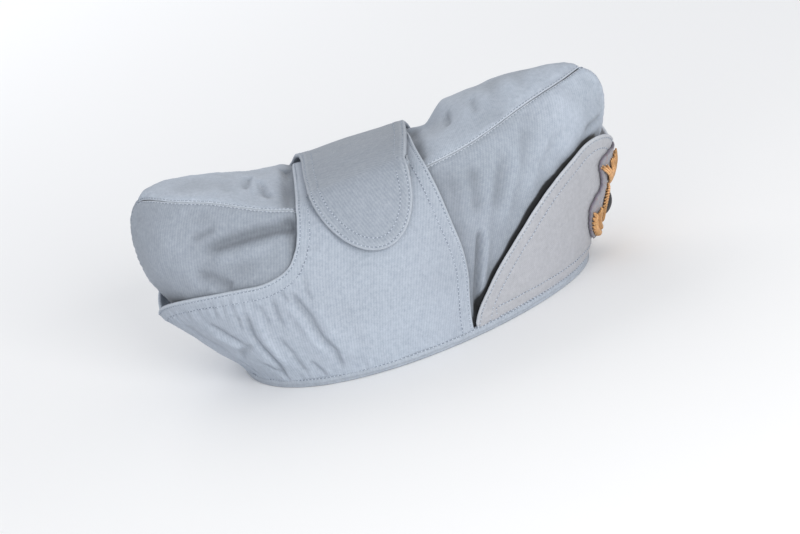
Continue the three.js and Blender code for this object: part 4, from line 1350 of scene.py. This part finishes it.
def backing_cloth():
    """The patch: its half-width follows the table, and its cut edge is slightly uneven."""
    low, high = BACKING_LEVELS["height"][0], BACKING_LEVELS["height"][-1]
    height = (low + (high - low) * fine_ended(count=70, length=high - low))[:, None]
    half = along(BACKING_LEVELS, "height", "half", height)
    waves = zip(*(PATCH_EDGE_WAVES[column] for column in ("height", "turn", "start")))
    half = half + sum(most * np.sin(height * turn + start) for most, turn, start in waves)
    across = half * (2 * fine_ended(count=56, length=2 * half[:, 0]) - 1)
    height = np.broadcast_to(height, across.shape) + 0.4 * np.sin(across * 0.9)
    face = badge_point(across, height, BADGE_FOOT + BADGE_CLOTH)
    guide = badge_point(across, height, BADGE_FOOT + BADGE_CLOTH + 1) - face
    border = np.concatenate([face[:, 0], face[-1], face[::-1, -1], face[0, ::-1]])
    edge = distance_to(face, border)[0]
    relief = PATCH_RIPPLE["height"] * ripples(face, PATCH_RIPPLE["length"], SEEDS["patch"])
    layers = {"rim": PATCH_RIM["share"] * np.exp(-edge / PATCH_RIM["reach"])}
    return Cloth(face, guide, BADGE_CLOTH, edge, relief, np.stack([across, height], -1), layers)


def boss_cushion():
    """The badge's centre: a square grid drawn out to a disc, raised as the root of one less the
    distance squared. Gives the points, the faces and each point's place on the cloth."""
    line = np.sin((np.linspace(0, 1, BOSS["lines"]) - 0.5) * np.pi)
    a, b = np.meshgrid(line, line, indexing="ij")
    x, y = a * np.sqrt(1 - b * b / 2), b * np.sqrt(1 - a * a / 2)
    up = np.sqrt(np.clip(1 - x * x - y * y, 0, 1)) * BOSS["rise"]
    across, height = x * BOSS["radius"], BADGE_CENTRE + y * BOSS["radius"]
    low = THREAD_FOOT - BOSS["sunk"]
    outer = badge_point(across, height, low + BOSS["wall"] + up)
    inner = badge_point(across, height, low)
    points, faces, both = closed_grid(outer, inner)
    return points, faces, both(np.stack([across, height], -1))


def arched(run, most, start, sweep):
    """How high strands stand over the cloth along their run: the middle part of a sine."""
    return most * np.sin(np.pi * (start + sweep * run))


def flame_strands():
    """Tongues of flame from a narrow foot: each leans out by its number and sways, and is three
    strands of bullion side by side. Every other tongue is longer."""
    numbers = np.arange(-FLAME["tongues_beside"], FLAME["tongues_beside"] + 1)
    number = np.repeat(numbers, 3)[:, None]
    strand = np.tile(np.arange(-1, 2), len(numbers))[:, None]
    run = np.linspace(0, 1, 9)[None, :]
    reach = FLAME["reach"] - FLAME["lost_outwards"] * number**2 - FLAME["lost_every_other"] * (number % 2)
    reach = reach - FLAME["lost_beside"] * np.abs(strand)
    sway = FLAME["sway"] * np.sin(run * 5.5 + number * 1.3) * run
    beside = strand * FLAME["strand_pitch"] * (1 - FLAME["narrowing"] * run)
    across = number * (FLAME["pitch"] + FLAME["spread"] * run) + beside + sway
    height = FLAME["foot"] + reach * run
    arch = arched(run, FLAME["arch"], 0.12, 0.8) * (1 - 0.06 * np.abs(number))
    lift = THREAD_FOOT + 0.5 + arch + 0.3 * (strand == 0)
    return badge_strands(across, height, lift, np.full(number.shape[0], FLAME["radius"]))


def ring_strands():
    """Bullion laid aslant across the ring, each piece arched over it."""
    count = RING["strands"]
    start = np.arange(count)[:, None] * 2 * np.pi / count
    run = np.linspace(0, 1, 7)[None, :]
    radius = RING["inner"] + RING["width"] * run
    turn = start + RING["slant"] * run
    lift = THREAD_FOOT + 0.4 + arched(run, RING["arch"], 0.08, 0.84)
    across, height = RING_SPREAD * radius * np.cos(turn), BADGE_CENTRE + radius * np.sin(turn)
    return badge_strands(across, height, lift, np.full(count, RING["radius"]))


def branch_strands(side):
    """A curved stem with leaves in pairs: two strands to a leaf, arched over the cloth."""
    pairs = BRANCH["pairs"]
    turn = np.radians(270 + side * (BRANCH["first"] + BRANCH["sweep"] * (np.arange(pairs) + 0.5) / pairs))
    turn = np.repeat(turn, 4)[:, None]
    inward = np.tile([1, 1, -1, -1], pairs)[:, None]
    strand = np.tile([-0.5, 0.5, -0.5, 0.5], pairs)[:, None]
    run = np.linspace(0, 1, 7)[None, :]
    stem = BRANCH["stem"]
    radius = stem - inward * BRANCH["leaf"] * run
    width = strand * arched(run, BRANCH["strand_pitch"], 0.15, 0.8)
    turn = turn + side * (BRANCH["lean"] * run + BRANCH["apart"] * inward + width) / stem
    lift = THREAD_FOOT + 0.4 + arched(run, BRANCH["arch"], 0.1, 0.8)
    across, height = BRANCH_SPREAD * radius * np.cos(turn), BADGE_CENTRE + radius * np.sin(turn)
    return badge_strands(across, height, lift, np.full(4 * pairs, BRANCH["radius"]))


BAND = {"places": 520, "sides": 28, "middle": -1.75, "half_width": 2.15, "power": 0.6}
BAND_FOLD = {"depth": 0.25, "height": 4.35, "width": 0.5}
# Millimetres of cloth for a degree along the rim, and for a radian round the band
CLOTH_PER_TURN = {"rim": 1.62, "band": 2.3}


def rim_band():
    """The folded edge round the bottom: a rounded oblong carried round the rim line. Its
    section's width and height are a cosine and a sine to the same power, with their signs."""
    angle = np.arange(BAND["places"]) * 360 / BAND["places"]
    turn = np.arange(BAND["sides"]) * 2 * np.pi / BAND["sides"]
    point, out = rim_frame(angle)
    c, s = np.cos(turn), np.sin(turn)
    reach = BAND["middle"] + BAND["half_width"] * np.sign(c) * np.abs(c) ** BAND["power"]
    up = BAND_HEIGHT / 2 + (BAND_HEIGHT / 2) * np.sign(s) * np.abs(s) ** BAND["power"]
    points = point[:, None] + out[:, None] * reach[None, :, None]
    points[..., 2] = up[None, :]
    wave = uneven(points, RIM_RIPPLES, SEEDS["rim"])
    fold = -BAND_FOLD["depth"] * bell(up, BAND_FOLD["height"], BAND_FOLD["width"]) * (c > 0)
    points = points + out[:, None] * ((wave * smooth(0.2, 1.5, up)[None]) + fold[None])[..., None]
    return points, angle, up, turn


def add_rim_band(finish):
    """Makes the band, and gives the line of its stitches with the outward directions there."""
    points, angle, up, turn = rim_band()
    rows, sides = points.shape[:2]
    ids = np.arange(rows * sides).reshape(rows, sides)
    ids = np.concatenate([ids, ids[:1]], 0)
    ids = np.concatenate([ids, ids[:, :1]], 1)
    faces = grid_faces(ids)
    flat = points.reshape(-1, 3)
    if signed_volume(flat, faces) < 0:
        faces = faces[:, ::-1]
    around, across = angle[:, None] * CLOTH_PER_TURN["rim"], turn[None] * CLOTH_PER_TURN["band"]
    chart = np.stack(np.broadcast_arrays(around, across), -1)
    wear = np.broadcast_to(RIM_WEAR * (np.cos(turn) > 0.6), points.shape[:2]).ravel()
    # Painted shade all round the band
    layers = {"shade": np.full(rows * sides, RIM_PAINTED_SHADE), "wear": wear}
    piece = new_piece("rim_band_cloth", flat, faces, finish, layers, chart.reshape(-1, 2))
    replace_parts(piece, "rim_band")
    inside = np.cos(turn) <= 0
    outer_side = int(np.argmin(np.abs(up - RIM_ROW_HEIGHT) + 2 * BAND_HEIGHT * inside))
    line = np.concatenate([points[:, outer_side], points[:1, outer_side]])
    normals = np.concatenate([rim_frame(angle)[1], rim_frame(angle[:1])[1]]) + np.array([0, 0, 0.35])
    return line, unit(normals)


def picked_colour(name, description, *parts):
    """A setting that holds a colour of the screen."""
    return bpy.props.FloatVectorProperty(
        name=name, description=description, subtype="COLOR", size=4, min=0, max=1, default=colour(*parts)
    )


class ClothSettings(bpy.types.PropertyGroup):
    """Colours of the cap's cloth."""

    dark: picked_colour("Dark yarn", "Darker yarn of the crown and the flaps", 126, 138, 153)
    light: picked_colour("Pale yarn", "Paler yarn of the crown and the flaps", 181, 190, 202)
    drift: picked_colour("Drift", "Tint that patches of the cloth lean towards", 164, 164, 180)
    peak_dark: picked_colour("Dark yarn of the peak", "Darker yarn of the peak", 138, 141, 147)
    peak_light: picked_colour("Pale yarn of the peak", "Paler yarn of the peak", 180, 182, 188)
    worn: picked_colour("Worn edge", "Colour of the cloth where it is worn", 196, 204, 214)
    ribs: bpy.props.FloatProperty(
        name="Ribs", description="How strongly the ribs of the cloth show",
        subtype="FACTOR", min=0, max=1, default=0.5,
    )


class StitchSettings(bpy.types.PropertyGroup):
    """The sewing thread."""

    dark: picked_colour("Dark strand", "Darker strand of the thread", 172, 183, 198)
    light: picked_colour("Pale strand", "Paler strand of the thread", 198, 206, 217)
    # Painted shade where the thread goes into the cloth
    hole_shade: picked_colour("Stitch hole", "Colour where the thread goes into the cloth", 84, 94, 110)
    radius: bpy.props.FloatProperty(
        name="Thickness", description="Radius of the thread", unit="LENGTH",
        min=0.0001, max=0.0006, default=STITCH["radius"] * MM, precision=5,
    )


class BadgeSettings(bpy.types.PropertyGroup):
    """Colours of the badge."""

    cloth: picked_colour("Patch", "Colour of the patch under the badge", 156, 157, 167)
    thread: picked_colour("Bullion", "Colour of the metal thread", 220, 172, 122)
    boss: picked_colour("Boss", "Colour of the round centre", 24, 24, 27)


class StageSettings(bpy.types.PropertyGroup):
    """The floor, the light and the lens."""

    floor: picked_colour("Floor", "Colour of the floor", 238, 239, 241)
    light: bpy.props.FloatProperty(
        name="Key light", description="Power of the large light", unit="POWER", min=0, max=500, default=21.5
    )
    sky: bpy.props.FloatProperty(
        name="Surroundings", description="Brightness of the pale surroundings", min=0, max=5, default=0.68
    )
    lens: bpy.props.FloatProperty(
        name="Lens", description="Focal length of the camera in millimetres", min=20, max=300, default=107.3
    )


def settings(name):
    return getattr(bpy.context.scene, "cap_" + name)


def finish_of(name, make):
    """A finish by its name, made once."""
    return bpy.data.materials.get(name) or make(name)


def toned(chosen, share):
    """A colour made darker or brighter by a share."""
    return (*(min(1, part * share) for part in chosen[:3]), 1)


def twill_finish():
    chosen = settings("cloth")
    colours = chosen.drift[:], chosen.worn[:]

    def make(name):
        return twill(name, chosen.dark[:], chosen.light[:], chosen.ribs, *colours)

    return finish_of("cloth_of_the_cap", make)


def thread_finish():
    chosen = settings("stitch")
    return finish_of("thread", lambda name: thread(name, chosen.dark[:], chosen.light[:], chosen.hole_shade[:]))


def bullion_finish():
    chosen = settings("badge").thread[:]
    # The thread's colour darkened and brightened into painted shade and painted highlight along the coil's
    # turns
    return finish_of("bullion", lambda name: bullion(name, toned(chosen, 0.3), chosen, toned(chosen, 1.5)))


def sew(name, rows):
    """Stitches of the sewing thread along rows."""
    return stitches(name, rows, thread_finish(), {**STITCH, "radius": settings("stitch").radius / MM})


def make_crown():
    """Both sides and the top. The left side's folds are weaker than the right one's."""
    for side, flip, share in (("right", 1, 1.0), ("left", -1, 0.75)):
        node = "crown_side_" + side
        cloth, seam, ends = crown_side(SEEDS["crown_" + side], share, flip)
        if flip < 0:
            cloth.mirror()
        cloth.piece(node + "_cloth", twill_finish(), "twill", node)
        rows = [cloth.row_at(seam, SEAM_ROW, False)]
        rows += [cloth.row_at(ends, SEAM_ROW, first, 0) for first in (True, False)]
        sew(f"crown_stitches_{side}", rows)
    cloth, right, left = crown_top()
    cloth.piece("crown_top_cloth", twill_finish(), "twill", "crown_top")
    sew("crown_stitches_top", [cloth.row_at(right, SEAM_ROW, True), cloth.row_at(left, SEAM_ROW, False)])


def make_flaps():
    """The right flap with its tab and the left one, mirrored, with its tongue."""
    kinds = (
        # side, flip, how it lies, rear edge and end of its strap, strength of folds, strap's shade
        ("right", 1, wing_lift, TAB_REAR_EDGE, TAB_END, 1.0, TAB_SHADE),
        ("left", -1, tongue_lift, TONGUE_REAR_EDGE, TONGUE_END, 0.8, TONGUE_DYE_AND_PAINTED_SHADE),
    )
    for side, flip, lift, rear_edge, end, share, shade in kinds:
        cloth, border, rows = flap(lift, rear_edge, end, SEEDS["flap_" + side], share, shade, flip)
        if flip < 0:
            cloth.mirror()
        cloth.piece(f"flap_{side}_cloth", twill_finish(), "twill", f"flap_{side}")
        sew(f"flap_stitches_{side}", [cloth.row_beside(border, row) for row in rows])


def make_peak():
    """The peak, with rows of stitches along its free edge and a long loop of them at its foot."""
    chosen = settings("cloth")
    colours = chosen.peak_dark[:], chosen.peak_light[:], PEAK_RIBS, chosen.drift[:], chosen.worn[:]
    finish = finish_of("cloth_of_the_peak", lambda name: twill(name, *colours))
    cloth, angle, free, foot = peak_cloth()
    cloth.piece("peak_cloth", finish, "peak_twill", "peak")
    between = np.abs(angle) < PEAK_ROW_ENDS
    rows = [cloth.row_at(free, row, False) for row in PEAK_ROWS]
    rows += [cloth.row_at(np.where(between, foot, np.inf), row) for row in PEAK_FOOT_ROWS]
    slant = np.linspace(*PEAK_FOOT_ROWS, 9)
    for side in (1, -1):
        line = peak_point(PEAK_ROW_ENDS * side, slant, HEM["pad"])
        rows.append((line, unit(peak_point(PEAK_ROW_ENDS * side, slant, HEM["pad"] + 1) - line)))
    sew("peak_stitches", rows)


def make_rim_band():
    sew("rim_stitches", [add_rim_band(twill_finish())])


def make_snap():
    """The snap keeps the shape that it has in the frame."""
    finish = finish_of("metal_of_the_snap", lambda name: metal(name, colour(186, 188, 192)))
    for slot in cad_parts["snap"].material_slots:
        slot.material = finish


def make_patch():
    chosen = settings("badge").cloth[:]
    fleck, edge = colour(150, 112, 108), colour(84, 76, 92)
    finish = finish_of("felt_of_the_patch", lambda name: felt(name, toned(chosen, 0.6), chosen, fleck, edge))
    backing_cloth().piece("badge_patch", finish, "patch_cloth", "badge_backing")


def make_bullion():
    finish = bullion_finish()
    strands = {
        "badge_flame": flame_strands(),
        "badge_ring": ring_strands(),
        "badge_branch_right": branch_strands(-1),
        "badge_branch_left": branch_strands(1),
    }
    for node, (paths, outs, radii) in strands.items():
        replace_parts(tubes(node + "_strands", paths, outs, radii, finish), node)


def make_boss():
    chosen = settings("badge").boss[:]
    finish = finish_of("boss_velvet", lambda name: velvet(name, chosen, colour(46, 44, 50)))
    points, faces, cloth = boss_cushion()
    piece = new_piece("badge_boss_cloth", points, faces, finish, cloth=cloth)
    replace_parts(piece, "badge_boss")


# The camera looks down by its tilt, is rolled, and stands off its target by its reach
CAMERA_TILT = math.radians(19)
CAMERA_ROLL = math.radians(18.4)
CAMERA_REACH = 1.4
CAMERA_TARGET = Vector((-0.0015, 0, 0.029))
FLOOR_HALF = 3.0
LIGHT_TARGET = Vector((0, 0, 0.06))


def make_stage():
    """The floor, three large lights and the camera, which looks down at the right side and is
    rolled, so the front of the cap stands higher in the picture."""
    chosen = settings("stage")
    scene = bpy.context.scene
    corners = np.array([[-1, -1, 0], [1, -1, 0], [1, 1, 0], [-1, 1, 0]]) * FLOOR_HALF
    mesh = bpy.data.meshes.new("floor")
    mesh.from_pydata(corners.tolist(), [], [(0, 1, 2, 3)])
    mesh.materials.append(finish_of("floor_paper", lambda name: paper(name, chosen.floor[:])))
    floor = bpy.data.objects.new("floor", mesh)
    scene.collection.objects.link(floor)

    world = bpy.data.worlds.new("surroundings")
    world.use_nodes = True
    world.node_tree.nodes["Background"].inputs["Color"].default_value = colour(246, 247, 249)
    world.node_tree.nodes["Background"].inputs["Strength"].default_value = chosen.sky
    scene.world = world

    lights = (
        # name, place, size, share of the power, tint
        ("key", (0.55, -1.6, 0.7), 0.7, 1.0, (1, 0.975, 0.93)),
        ("fill", (-0.9, -1.6, 0.3), 1.4, 0.35, (1, 0.99, 0.97)),
        ("back", (-0.6, 1.5, 1.2), 1.6, 0.6, (1, 1, 1)),
    )
    for name, place, size, share, tint in lights:
        lamp = bpy.data.lights.new(name, "AREA")
        lamp.energy = chosen.light * share
        lamp.size = size
        lamp.color = tint
        source = bpy.data.objects.new(name, lamp)
        source.matrix_world = aimed(Vector(place), LIGHT_TARGET)
        scene.collection.objects.link(source)

    across = Vector((1, 0, 0))
    upward = Vector((0, math.sin(CAMERA_TILT), math.cos(CAMERA_TILT)))
    right = across * math.cos(CAMERA_ROLL) - upward * math.sin(CAMERA_ROLL)
    up = across * math.sin(CAMERA_ROLL) + upward * math.cos(CAMERA_ROLL)
    place = CAMERA_TARGET + Vector((0, -math.cos(CAMERA_TILT), math.sin(CAMERA_TILT))) * CAMERA_REACH
    lens = bpy.data.cameras.new("camera")
    lens.lens = chosen.lens
    lens.sensor_width = 36
    lens.clip_end = 20
    camera = bpy.data.objects.new("camera", lens)
    camera.matrix_world = from_axes(right, up, right.cross(up), place)
    scene.collection.objects.link(camera)
    scene.camera = camera
    scene.view_settings.view_transform = "Standard"


def from_axes(right, up, back, place):
    """The matrix that carries the three axes to these directions and the origin to a place."""
    turn = Matrix((right, up, back)).transposed().to_4x4()
    return Matrix.Translation(place) @ turn


def aimed(place, target):
    """A light's matrix: its back points away from the target."""
    back = (place - target).normalized()
    right = Vector((0, 0, 1)).cross(back).normalized()
    return from_axes(right, back.cross(right), back, place)


class CAP_OT_crown(bpy.types.Operator):
    """Make the two side panels and the top panel of the crown, with their seams"""

    bl_idname = "cap.crown"
    bl_label = "Crown"

    def execute(self, context):
        make_crown()
        return {"FINISHED"}


class CAP_OT_flaps(bpy.types.Operator):
    """Make the two folded-up flaps, the right one's tab and the left one's tongue"""

    bl_idname = "cap.flaps"
    bl_label = "Flaps"

    def execute(self, context):
        make_flaps()
        return {"FINISHED"}


class CAP_OT_peak(bpy.types.Operator):
    """Make the folded-up peak"""

    bl_idname = "cap.peak"
    bl_label = "Peak"

    def execute(self, context):
        make_peak()
        return {"FINISHED"}


class CAP_OT_rim(bpy.types.Operator):
    """Make the folded edge round the bottom"""

    bl_idname = "cap.rim"
    bl_label = "Rim band"

    def execute(self, context):
        make_rim_band()
        return {"FINISHED"}


class CAP_OT_snap(bpy.types.Operator):
    """Give the snap its metal"""

    bl_idname = "cap.snap"
    bl_label = "Snap"

    def execute(self, context):
        make_snap()
        return {"FINISHED"}


class CAP_OT_patch(bpy.types.Operator):
    """Make the cut patch that carries the badge"""

    bl_idname = "cap.patch"
    bl_label = "Badge patch"

    def execute(self, context):
        make_patch()
        return {"FINISHED"}


class CAP_OT_bullion(bpy.types.Operator):
    """Make the metal embroidery: flame, ring and two branches"""

    bl_idname = "cap.bullion"
    bl_label = "Badge embroidery"

    def execute(self, context):
        make_bullion()
        return {"FINISHED"}


class CAP_OT_boss(bpy.types.Operator):
    """Make the round centre of the badge"""

    bl_idname = "cap.boss"
    bl_label = "Badge boss"

    def execute(self, context):
        make_boss()
        return {"FINISHED"}


class CAP_OT_stage(bpy.types.Operator):
    """Make the floor, the light and the camera"""

    bl_idname = "cap.stage"
    bl_label = "Stage"

    def execute(self, context):
        make_stage()
        return {"FINISHED"}


OPERATORS = (
    CAP_OT_crown, CAP_OT_flaps, CAP_OT_peak, CAP_OT_rim, CAP_OT_snap,
    CAP_OT_patch, CAP_OT_bullion, CAP_OT_boss, CAP_OT_stage,
)
SETTINGS = {"cloth": ClothSettings, "stitch": StitchSettings, "badge": BadgeSettings, "stage": StageSettings}


class CAP_PT_pieces(bpy.types.Panel):
    """The sizes and colours, and a button for each piece"""

    bl_idname = "CAP_PT_pieces"
    bl_label = "Field cap"
    bl_space_type = "VIEW_3D"
    bl_region_type = "UI"
    bl_category = "Cap"

    def draw(self, context):
        for name, group in SETTINGS.items():
            box = self.layout.box()
            box.label(text=name.capitalize())
            for key in group.__annotations__:
                box.prop(settings(name), key)
        for operator in OPERATORS:
            self.layout.operator(operator.bl_idname)


def register():
    for kind in (*SETTINGS.values(), *OPERATORS, CAP_PT_pieces):
        bpy.utils.register_class(kind)
    for name, group in SETTINGS.items():
        setattr(bpy.types.Scene, "cap_" + name, bpy.props.PointerProperty(type=group))


def unregister():
    for name in SETTINGS:
        delattr(bpy.types.Scene, "cap_" + name)
    for kind in (CAP_PT_pieces, *reversed(OPERATORS), *reversed(SETTINGS.values())):
        bpy.utils.unregister_class(kind)


def main():
    register()
    for operator in OPERATORS:
        group, name = operator.bl_idname.split(".")
        getattr(getattr(bpy.ops, group), name)()


if __name__ == "__main__":
    main()
